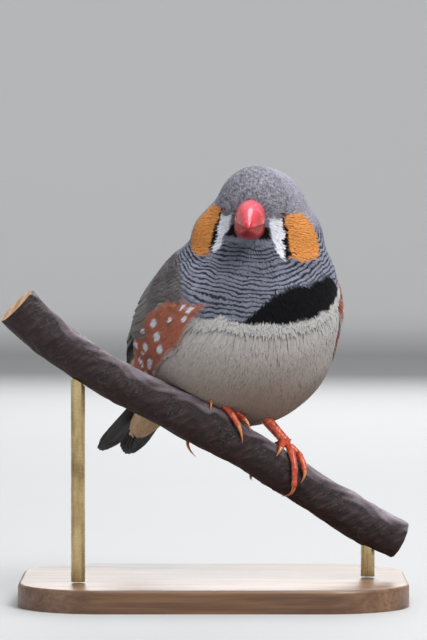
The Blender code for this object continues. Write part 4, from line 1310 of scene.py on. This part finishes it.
def vane_material(name, pale_edge, roughness):
    """A vane: dark shaft, slanting barbs, paler edges and the feather's own shade."""
    made, tree, shader = new_material(name, Roughness=roughness, Specular_IOR_Level=0.3, Sheen_Weight=0.1)
    base = add(tree, "Attribute", attribute_name="plumage").outputs["Color"]
    detail = details_of(tree)[0]
    across = maths(tree, "ABSOLUTE", maths(tree, "MULTIPLY_ADD", detail["Blue"], 2.0, -1.0))
    shaft = maths(tree, "MULTIPLY_ADD", across, -9.0, 1.0, clamp=True)
    rim = maths(tree, "MULTIPLY_ADD", across, 4.0, -2.9, clamp=True)
    tip = maths(tree, "MULTIPLY_ADD", detail["Green"], 9.0, -8.0, clamp=True)
    rim = maths(tree, "MAXIMUM", rim, tip)
    slant = maths(tree, "MULTIPLY_ADD", across, -0.35, detail["Green"])
    wave = maths(tree, "SINE", maths(tree, "MULTIPLY", slant, 340.0))
    cloud = noise(tree, add(tree, "TexCoord").outputs["Object"], 900.0, 4.0)
    shade = maths(tree, "MULTIPLY_ADD", detail["Red"], 0.4, 0.62)
    shade = maths(tree, "MULTIPLY", shade, maths(tree, "MULTIPLY_ADD", cloud, 0.7, 0.62))
    shade = maths(tree, "MULTIPLY", shade, maths(tree, "MULTIPLY_ADD", wave, 0.07, 1.0))
    shade = maths(tree, "MULTIPLY", shade, maths(tree, "MULTIPLY_ADD", shaft, -0.45, 1.0))
    pale = maths(tree, "MULTIPLY", rim, pale_edge)
    colour = mixed(tree, pale, shaded(tree, base, shade), (0.36, 0.32, 0.29))
    rough = maths(tree, "MULTIPLY_ADD", cloud, 0.2, roughness - 0.1)
    feed(tree, shader, colour, rough, (wave, 0.00003, 0.5))
    return made


WING_VANE = vane_material("wing_vane", 0.4, 0.55)
TAIL_VANE = vane_material("tail_vane", 0.03, 0.45)

# %% Wing feathers in their tiers
# count, then for the first and the last feather root and tip (share along, share across),
# half width, height over the slab and colour
WING_TIERS = (
    (7, ((0.52, 0.75), (0.94, 0.86)), ((0.44, 0.40), (0.82, 0.22)), 1.9, 0.0, (0.075, 0.062, 0.055)),
    (9, ((0.36, 0.72), (0.76, 0.72)), ((0.30, 0.45), (0.66, 0.22)), 2.1, 0.15, (0.095, 0.079, 0.070)),
    (4, ((0.30, 0.40), (0.70, 0.20)), ((0.24, 0.12), (0.52, 0.03)), 2.7, 0.25, (0.115, 0.097, 0.087)),
    (11, ((0.28, 0.85), (0.52, 0.82)), ((0.24, 0.10), (0.46, 0.06)), 1.9, 0.25, (0.118, 0.100, 0.090)),
)


def wing_listed(side):
    """Every feather of a folded wing, tier by tier from the lowest up."""
    listed = []
    rng = np.random.default_rng(5 if side == "left" else 6)
    for count, first, last, half, lift, colour in WING_TIERS:
        for k in range(count):
            share = k / (count - 1)
            (t0, v0), (t1, v1) = [
                (blend(a[0], b[0], share), blend(a[1], b[1], share)) for a, b in zip(first, last)
            ]
            t1, v1 = t1 + rng.uniform(-0.012, 0.012), v1 + rng.uniform(-0.02, 0.02)

            def place(s, across, height, t0=t0, v0=v0, t1=t1, v1=v1, lift=lift):
                t, v = blend(t0, t1, s), blend(v0, v1, s)
                over = max(slab_height(t, v) - 0.25 + lift - 0.75 * (1.0 - s) ** 2, 0.0)
                return wing_place(side, t, v, across, over + height)

            listed.append((place, half * rng.uniform(0.92, 1.08), 0.24, colour, 0.12))
    return listed


for side in SIDES:
    vanes("wing_feathers_" + side, wing_listed(side), WING_VANE, ["wing_" + side], 11)

# %% The tail
TAIL_ROOT, TAIL_LENGTH = Vector((-22.0, 0.0, 7.2)), 32.0
TAIL_HALF_WIDTH = 2.0
# one side's feathers from the middle out: place across at root and tip, shortness and height
TAIL_FEATHERS = (
    (0.8, 1.0, 1.9, 0.9),
    (1.3, 1.6, 1.2, 0.6),
    (1.8, 2.3, 0.5, 0.3),
    (2.2, 3.0, 0.1, 0.0),
    (2.6, 3.7, 0.2, -0.3),
    (2.9, 4.4, 0.7, -0.6),
)
TAIL_SHAPE = (0.55, 0.78, 0.92, 0.98, 1.0, 1.0, 1.0, 1.0, 1.0, 1.0, 0.98, 0.94, 0.82, 0.5)


def tail_listed():
    """Both halves of the tail, which open flatter towards the tip and roll a little."""
    listed = []
    for side in SIDES.values():
        for root, tip, short, height in TAIL_FEATHERS:

            def place(s, across, rise, side=side, root=root, tip=tip, short=short, height=height):
                u = TAIL_ROOT.x - s * (TAIL_LENGTH - short)
                y = blend(root, tip, s) + across
                roof = TAIL_ROOT.z - 0.04 * (TAIL_ROOT.x - u)
                opened = blend(height - 0.02 * y * y, 0.35 * height + (0.27 if side < 0 else -0.13) * y, s)
                return BODY @ Vector((u, side * y, roof + opened + rise))

            listed.append((place, TAIL_HALF_WIDTH, -0.08, (0.013, 0.011, 0.0105), 0.06))
    return listed


vanes("tail_feathers", tail_listed(), TAIL_VANE, ["tail"], 21, TAIL_SHAPE)

# %% [markdown]
# ## The bill
# A finch's bill is a short, deep cone of horn, coral red with a waxy shine and a painted highlight along
# its ridge. Two half-oval shells, drawn out along a curve, meet at a fine line that droops at the
# gape. The horn lets a little light in, so the finish has subsurface colour under a thin gloss.

# %% Bill shapes
BILL_DROP, BILL_LENGTH, BILL_HALF_WIDTH, CULMEN_HEIGHT, LOWER_DEPTH = 3.5, 9.6, 3.3, 4.5, 4.4
BILL = HEAD @ Matrix.Translation(BILL_ROOT) @ Matrix.Rotation(-math.radians(BILL_DROP), 4, "Y")


def bill_half(name, upper, stations=26, sides=28):
    """One half of the bill, ring by ring, closed by a cap at its root."""
    length = BILL_LENGTH if upper else BILL_LENGTH * 0.9
    bm = bmesh.new()
    rings = []
    for i in range(stations + 1):
        t = 1.0 - (1.0 - i / stations) ** 1.5
        x = -2.5 + (length + 2.5) * t
        forward = max(0.0, x / length)
        wide = BILL_HALF_WIDTH * (1.0 - forward**1.7) ** 0.8 + 0.12
        if upper:
            tall = CULMEN_HEIGHT * (1.0 - forward**1.9) ** 0.75 + 0.18
            edge = 0.05 - 0.5 * forward**3
        else:
            wide *= 0.97
            tall = -((LOWER_DEPTH - 0.9) * (1.0 - forward**1.8) ** 0.75 + 0.15)
            edge = -0.09 - 0.55 * forward**3
        edge -= 0.5 * max(0.0, 1.0 - x / 3.0) ** 2 * 0.6
        section = []
        for k in range(sides + 1):
            a = math.pi * k / sides
            ridge = 0.16 * math.exp(-((a - math.pi / 2) / 0.22) ** 2) * (1.0 - forward) if upper else 0.0
            round_side, round_top = (0.92, 0.8) if upper else (0.62, 0.62)
            y = wide * math.copysign(abs(math.cos(a)) ** round_side, math.cos(a))
            section.append(Vector((x, y, edge + tall * math.sin(a) ** round_top + ridge)))
        for v in (-0.96, -0.5, 0.0, 0.5, 0.96):
            section.append(Vector((x, wide * v, edge - (0.12 if upper else -0.12) * (1 - v * v))))
        rings.append([bm.verts.new(BILL @ point) for point in section])
    bridged(bm, rings)
    bm.faces.new(rings[0])
    bm.faces.new(rings[-1])
    bmesh.ops.remove_doubles(bm, verts=bm.verts, dist=0.002)
    return object_from(bm, name)


def horn_material(name, deep, mid, pale, roughness, gloss):
    """Waxy horn clouded from deep to pale, with growth lines and a painted highlight that makes it paler
    where it faces up.
    """
    made, tree, shader = new_material(name, Roughness=roughness, Specular_IOR_Level=0.4,
                                      Coat_Weight=gloss, Coat_Roughness=0.14,
                                      Subsurface_Weight=0.08, Subsurface_Scale=0.0012)
    place = own_place(tree)
    cloud = streaks(tree, place, (1.0, 1.0, 1.0), 420.0, 4.0, 1.9)
    lines = streaks(tree, place, (1.0, 0.25, 1.0), 2300.0, 3.0, 1.5)
    colour = ramp(tree, cloud, ((0.1, deep), (0.5, mid), (0.95, pale)))
    colour = mixed(tree, maths(tree, "MULTIPLY", lines, 0.25), colour, deep)
    # painted highlight: faces that look up are mixed towards the pale colour
    painted_highlight = maths(tree, "MULTIPLY_ADD", facing_up(tree), 0.55, -0.1, clamp=True)
    rough = maths(tree, "MULTIPLY_ADD", lines, 0.14, roughness - 0.05)
    feed(tree, shader, mixed(tree, painted_highlight, colour, pale), rough, (lines, 0.00006, 0.5))
    return made


BILL_UPPER = horn_material("bill_upper_horn", (0.46, 0.008, 0.012), (0.60, 0.030, 0.042), (0.74, 0.20, 0.27),
                           roughness=0.22, gloss=0.7)
BILL_LOWER = horn_material("bill_lower_horn", (0.17, 0.003, 0.003), (0.33, 0.008, 0.006), (0.50, 0.03, 0.02),
                           roughness=0.34, gloss=0.25)
finished(bill_half("bill_upper_horn", True), BILL_UPPER, ["bill_upper"], angle=60)
finished(bill_half("bill_lower_horn", False), BILL_LOWER, ["bill_lower"], angle=60)

# %% [markdown]
# ## Eyes and lids
# The bird dozes, so each eye is a narrow dark slit between lids of bare, grey, wrinkled skin.
# The ball is a glossy sphere that sits deep in the head; the lids are rings of skin pulled from
# an outer oval in to the slit, with a fold and a fine rim, bulging over the ball.

# %% Lids
def lid_mesh(side, rings=16, sides=44):
    """A wrinkled oval of skin from the face in to the slit."""
    axes = eye_axes(side)
    bm = bmesh.new()
    made = []
    for i in range(rings + 3):
        t = min(i / rings, 1.0)
        ring = []
        for k in range(sides):
            a = 2 * math.pi * k / sides
            outer = Vector((0.0, 2.2 * math.cos(a), 1.65 * math.sin(a)))
            slit_high = (0.42 if math.sin(a) > 0 else 0.24) * abs(math.sin(a)) ** 1.2
            slit = Vector((0.0, 1.35 * math.cos(a), math.copysign(slit_high, math.sin(a)) - 0.1))
            flat = outer.lerp(slit, t**0.9)
            dome = 1.5 * math.sqrt(max(0.0, 1.0 - (flat.y / 2.5) ** 2 - (flat.z / 2.2) ** 2))
            crease = math.sin(t * 15.0 + 0.5 * math.sin(3 * a)) * (1.0 - t) ** 0.4
            fold = 0.03 * crease * math.sin(math.pi * min(t * 1.3, 1.0))
            rim = 0.07 * math.exp(-((t - 0.93) / 0.06) ** 2)
            deep = -0.28 * (i - rings) if i > rings else 0.0
            place = Vector((dome - 0.85 + fold + rim + deep, flat.y, flat.z * (1.0 if i <= rings else 1.25)))
            ring.append(bm.verts.new(axes @ place))
        made.append(ring)
    bridged(bm, made)
    lids = object_from(bm, "lids_" + side)
    inwards = np.minimum(np.arange(len(lids.data.vertices)) // sides / rings, 1.0)
    paint(lids.data, np.ones((len(inwards), 3)), inwards[:, None] * np.ones(4))
    skin_depth = lids.modifiers.new("thickness", "SOLIDIFY")
    skin_depth.thickness, skin_depth.offset = 0.12 * MM, -1.0
    return applied(lids)


def lid_material():
    """Grey wrinkled skin with a reddish rim round the slit."""
    made, tree, shader = new_material("lid_skin", Roughness=0.5, Specular_IOR_Level=0.4,
                                      Subsurface_Weight=0.08, Subsurface_Scale=0.0008)
    place = own_place(tree)
    wrinkles = streaks(tree, place, (1.0, 1.0, 2.2), 1700.0, 4.0, 2.2)
    colour = ramp(tree, wrinkles, (
        (0.1, (0.07, 0.066, 0.075)),
        (0.55, (0.145, 0.138, 0.157)),
        (0.95, (0.23, 0.22, 0.25)),
    ))
    rim = maths(tree, "MULTIPLY_ADD", details_of(tree)[0]["Red"], 6.0, -5.1, clamp=True)
    colour = mixed(tree, rim, colour, (0.36, 0.11, 0.07))
    feed(tree, shader, colour, maths(tree, "MULTIPLY_ADD", wrinkles, 0.2, 0.42), (wrinkles, 0.0001, 0.8))
    return made


def eye_material():
    """A wet, nearly black brown."""
    made, tree, shader = new_material("eye", Roughness=0.06, Specular_IOR_Level=0.6,
                                      Coat_Weight=1.0, Coat_Roughness=0.02)
    place = own_place(tree)
    iris = streaks(tree, place, (1.0, 1.0, 1.0), 1300.0, 3.0, 2.0)
    feed(tree, shader, ramp(tree, iris, ((0.2, (0.006, 0.002, 0.0015)), (0.9, (0.035, 0.010, 0.006)))))
    return made


LID_SKIN, EYE = lid_material(), eye_material()
for side in SIDES:
    ball = bmesh.new()
    shape = eye_axes(side) @ Matrix.Translation((-1.12, 0.0, -0.1)) @ Matrix.Diagonal((1.72, 1.95, 1.75, 1.0))
    bmesh.ops.create_uvsphere(ball, u_segments=40, v_segments=24, radius=0.94, matrix=shape)
    finished(object_from(ball, "eye_ball_" + side), EYE, ["eye_" + side])
    finished(lid_mesh(side), LID_SKIN)

# %% [markdown]
# ## Legs, toes and claws
# Bare legs and toes wear rows of flat horny shields, orange red, with darker joints. Each toe is
# a tube extruded along the bark under it; the shields are rings that step in at each seam, and
# softer pads swell at the joints. The claws are plain curved cones of horn.

# %% Tubes along a line
TUBE_SIDES = 20


def tube(name, points, reach, sides=TUBE_SIDES):
    """A closed tube of rings along points; reach(i, angle) gives its radius."""
    bm = bmesh.new()
    rings, across = [], None
    for i, point in enumerate(points):
        along = (points[min(i + 1, len(points) - 1)] - points[max(i - 1, 0)]).normalized()
        guide = across if across else (Vector((0, 0, 1)) if abs(along.z) < 0.9 else Vector((1, 0, 0)))
        up = along.cross(guide).normalized()
        across = up.cross(along).normalized()
        ring = []
        for k in range(sides):
            a = 2 * math.pi * k / sides
            ring.append(bm.verts.new(point + (across * math.cos(a) + up * math.sin(a)) * reach(i, a)))
        rings.append(ring)
    bridged(bm, rings)
    for ring in (rings[0], rings[-1]):
        bmesh.ops.poke(bm, faces=[bm.faces.new(ring)])
    return object_from(bm, name)


FOOT_PLACES = {"right": (-1.6, -14.0), "left": (13.0, 2.0)}
LEG_TOPS = {"right": Vector((1.4, -4.2, 46.6)), "left": Vector((10.4, -3.4, 40.6))}
TOE_RADIUS, TOE_TIP_RADIUS, LEG_RADIUS = 0.78, 0.55, 1.1
# each toe's root and tip, as x and angle round the branch, then its claw's tip, with height over the bark
TOES = {
    "right": {
        "outer": ((-2.8, -8.0), (-3.2, 20.0), (-2.9, 44.0, 0.4)),
        "middle": ((-1.2, 6.0), (3.0, 50.0), (5.0, 78.0, 0.5)),
        "inner": ((0.6, -8.0), (3.9, 16.0), (5.4, 36.0, 0.4)),
        "back": ((-1.6, -40.0), (-2.8, -146.0), (-0.6, -190.0, 2.2)),
    },
    "left": {
        "outer": ((15.2, 12.0), (17.5, 58.0), (18.0, 88.0, 0.5)),
        "middle": ((13.6, 22.0), (17.4, 106.0), (16.9, 158.0, 0.6)),
        "inner": ((11.9, 10.0), (11.8, 38.0), (11.7, 62.0, 0.4)),
        "back": ((12.2, -30.0), (11.0, -140.0), (11.0, -186.0, 0.8)),
    },
}


def scaled_skin_material():
    """Orange shields with darker seams and a waxy surface."""
    made, tree, shader = new_material("leg_scales", Roughness=0.36, Specular_IOR_Level=0.5,
                                      Coat_Weight=0.25, Coat_Roughness=0.2,
                                      Subsurface_Weight=0.08, Subsurface_Scale=0.0008)
    seam = details_of(tree)[0]["Red"]
    place = own_place(tree)
    cloud = streaks(tree, place, (1.0, 1.0, 1.0), 700.0, 4.0, 2.0)
    colour = ramp(tree, cloud, (
        (0.1, (0.30, 0.028, 0.012)),
        (0.5, (0.52, 0.068, 0.026)),
        (0.95, (0.70, 0.18, 0.07)),
    ))
    colour = mixed(tree, maths(tree, "MULTIPLY", seam, 0.4), colour, (0.24, 0.02, 0.010))
    fine = streaks(tree, place, (1.0, 1.0, 1.0), 3600.0, 2.0, 1.6)
    feed(tree, shader, colour, maths(tree, "MULTIPLY_ADD", cloud, 0.2, 0.33), (fine, 0.00006, 0.6))
    return made


LEG_SCALES = scaled_skin_material()
CLAW_HORN = horn_material("claw_horn", (0.30, 0.060, 0.018), (0.56, 0.17, 0.050), (0.70, 0.32, 0.13),
                          roughness=0.35, gloss=0.7)


def shielded(name, points, radii, pads, node, seams=11.0):
    """A limb with shields: radius drops at each seam, and pads bulge where told."""
    steps = len(points) - 1

    def reach(i, a):
        t = i / steps
        step = (t * seams) % 1.0
        radius = blend(radii[0], radii[1], t) * (0.97 + 0.06 * step ** 0.6)
        for at, size in pads:
            radius += size * math.exp(-((t - at) / 0.055) ** 2)
        if t < 0.03 or t > 0.97:
            radius *= 0.72
        return radius

    made = tube(name, points, reach)
    details = np.zeros((len(made.data.vertices), 4))
    ring = np.minimum(np.arange(len(details)) // TUBE_SIDES, steps)
    details[:, 0] = 1.0 - softened(0.0, 0.3, (ring / steps * seams) % 1.0)
    paint(made.data, np.ones((len(details), 3)), details)
    finished(made, LEG_SCALES, [node])


TOE_PADS = ((0.3, 0.07), (0.62, 0.07), (0.93, 0.08))


def toe_and_claw(side, name, sole, ends):
    """A shielded toe from the sole out over the bark, and the claw that curves on from it."""
    (x0, a0), (x1, a1), (claw_x, claw_angle, claw_height) = ends
    height = GAP + TOE_RADIUS - 0.05
    line = [on_branch(blend(x0, x1, k / 60), blend(a0, a1, k / 60), height) for k in range(61)]
    line = [sole.lerp(line[0], k / 12) for k in range(12)] + line
    shielded("toe_%s_%s_scales" % (name, side), line, (TOE_RADIUS, TOE_TIP_RADIUS), TOE_PADS,
             "toe_%s_%s" % (name, side))
    tip, onward = on_branch(claw_x, claw_angle, claw_height), (line[-1] - line[-6]).normalized()
    bend = line[-1] + onward * 0.42 * (tip - line[-1]).length
    start = line[-4]
    curve = [start.lerp(bend, k / 24).lerp(bend.lerp(tip, k / 24), k / 24) for k in range(25)]
    thickness = [blend(0.48, 0.05, (i / 24) ** 1.1) for i in range(25)]
    claw = tube("claw_%s_%s_horn" % (name, side), curve, lambda i, a: thickness[i], 14)
    finished(claw, CLAW_HORN, ["claw_%s_%s" % (name, side)])


for side in SIDES:
    x, angle = FOOT_PLACES[side]
    sole, top = on_branch(x, angle, GAP + LEG_RADIUS), LEG_TOPS[side]
    shank = [top.lerp(sole, k / 60) for k in range(61)]
    shielded("shank_" + side, shank, (1.25, 1.05), ((0.97, 0.14),), "leg_" + side, 9.0)
    for name, ends in TOES[side].items():
        toe_and_claw(side, name, sole, ends)

# %% [markdown]
# ## The stand
# A museum would fix the branch on two thin brass rods over a small walnut plate with an oiled,
# half-matt finish. The plate is a cube with its upright edges rounded wide and its top edge
# softened by bevels; grain runs along its length. The rods are the frame's own solids, whose
# shape is right, so they only get a better finish.

# %% Base plate
PLATE_SIZE = (84.0, 62.0, 5.0)


def base_plate():
    """A flat plate with wide rounded corners and a softened top edge."""
    bm = bmesh.new()
    shape = Matrix.Translation((0, 0, PLATE_SIZE[2] / 2)) @ Matrix.Diagonal((*PLATE_SIZE, 1.0))
    bmesh.ops.create_cube(bm, size=1.0, matrix=shape)
    upright = [e for e in bm.edges if abs((e.verts[0].co - e.verts[1].co).z) > PLATE_SIZE[2] / 2]
    bmesh.ops.bevel(bm, geom=upright, offset=18.0, segments=24, profile=0.5, affect="EDGES", material=-1)
    top = [e for e in bm.edges if all(v.co.z > PLATE_SIZE[2] - 0.01 for v in e.verts)]
    bmesh.ops.bevel(bm, geom=top, offset=0.9, segments=5, profile=0.5, affect="EDGES", material=-1)
    return object_from(bm, "base_plate")


def walnut_material():
    """Oiled brown wood with grain along the plate."""
    made, tree, shader = new_material("walnut", Roughness=0.4, Specular_IOR_Level=0.45,
                                      Coat_Weight=0.15, Coat_Roughness=0.3)
    place = own_place(tree)
    broad = streaks(tree, place, (0.10, 1.0, 1.0), 150.0, 4.0, 2.2)
    fine = streaks(tree, place, (0.035, 1.0, 1.0), 1400.0, 4.0, 2.6)
    colour = ramp(tree, broad, (
        (0.1, (0.085, 0.040, 0.020)),
        (0.5, (0.155, 0.078, 0.040)),
        (0.95, (0.25, 0.135, 0.072)),
    ))
    pores = maths(tree, "MULTIPLY_ADD", fine, -0.7, 0.55, clamp=True)
    colour = mixed(tree, pores, colour, (0.045, 0.020, 0.010))
    feed(tree, shader, colour, maths(tree, "MULTIPLY_ADD", fine, -0.15, 0.48), (fine, 0.00008, 0.35))
    return made


def brass_material():
    """Drawn brass, a little tarnished."""
    made, tree, shader = new_material("brass", Metallic=1.0, Roughness=0.3)
    place = own_place(tree)
    turned = streaks(tree, place, (0.2, 0.2, 1.0), 2600.0, 3.0, 1.6)
    tarnish = streaks(tree, place, (1.0, 1.0, 0.4), 300.0, 4.0, 2.2)
    colour = ramp(tree, tarnish, (
        (0.15, (0.36, 0.25, 0.12)),
        (0.6, (0.60, 0.45, 0.22)),
        (0.95, (0.70, 0.55, 0.29)),
    ))
    feed(tree, shader, colour, maths(tree, "MULTIPLY_ADD", turned, 0.2, 0.2), (turned, 0.00002, 0.5))
    return made


WALNUT, BRASS = walnut_material(), brass_material()
finished(base_plate(), WALNUT, ["stand_base"], angle=35)
for name in ("stand_rod_left", "stand_rod_right"):
    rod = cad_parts[name]
    for slot in rod.material_slots:
        slot.material = BRASS
print("stand dressed")

# %% [markdown]
# ## Floor and backdrop
# A pale sheet of paper curves up all round the stand, as a wide bowl, so there is no line where
# floor meets wall from any side.

# %% Paper sweep
# in metres: the flat floor's reach, the curve's radius and the wall's top
PAPER_FLAT, PAPER_CURVE, PAPER_TOP = 1.6, 0.5, 0.9


def paper_material():
    """Plain paper, greyer on the well-lit floor and paler on the wall, which gets less light."""
    paper, tree, shader = new_material("paper", Roughness=0.85)
    place = own_place(tree)
    cloud = streaks(tree, place, (1.0, 1.0, 1.0), 6.0, 3.0, 0.5)
    colour = ramp(tree, cloud, ((0.0, (0.40, 0.405, 0.41)), (1.0, (0.44, 0.445, 0.45))))
    away = add(tree, "VectorMath", {0: place}, operation="LENGTH").outputs["Value"]
    risen = maths(tree, "MULTIPLY_ADD", away, 2.2, -2.7, clamp=True)
    feed(tree, shader, mixed(tree, risen, colour, (0.92, 0.925, 0.93)))
    return paper


def paper_sweep():
    """A profile of floor, curve and wall, spun all the way round."""
    bm = bmesh.new()
    profile = [(0.02, 0.0), (PAPER_FLAT, 0.0)]
    profile += [(PAPER_FLAT + PAPER_CURVE * math.sin(a), PAPER_CURVE - PAPER_CURVE * math.cos(a))
                for a in np.radians(np.arange(6, 91, 6))]
    profile.append((PAPER_FLAT + PAPER_CURVE, PAPER_TOP))
    line = [bm.verts.new((r / MM, 0.0, z / MM)) for r, z in profile]
    edges = [bm.edges.new(pair) for pair in zip(line, line[1:])]
    bmesh.ops.spin(bm, geom=line + edges, cent=(0, 0, 0), axis=(0, 0, 1), dvec=(0, 0, 0),
                   angle=2 * math.pi, steps=96)
    bmesh.ops.remove_doubles(bm, verts=bm.verts, dist=0.01)
    bmesh.ops.contextual_create(bm, geom=[v for v in bm.verts if v.co.xy.length < 21.0])
    made = object_from(bm, "paper_sweep")
    made.data.shade_smooth()
    made.data.materials.append(paper_material())


paper_sweep()

# %% Tidy away the helpers and finish
dressed_bm.free()
form_bm.free()
skin_bm.free()
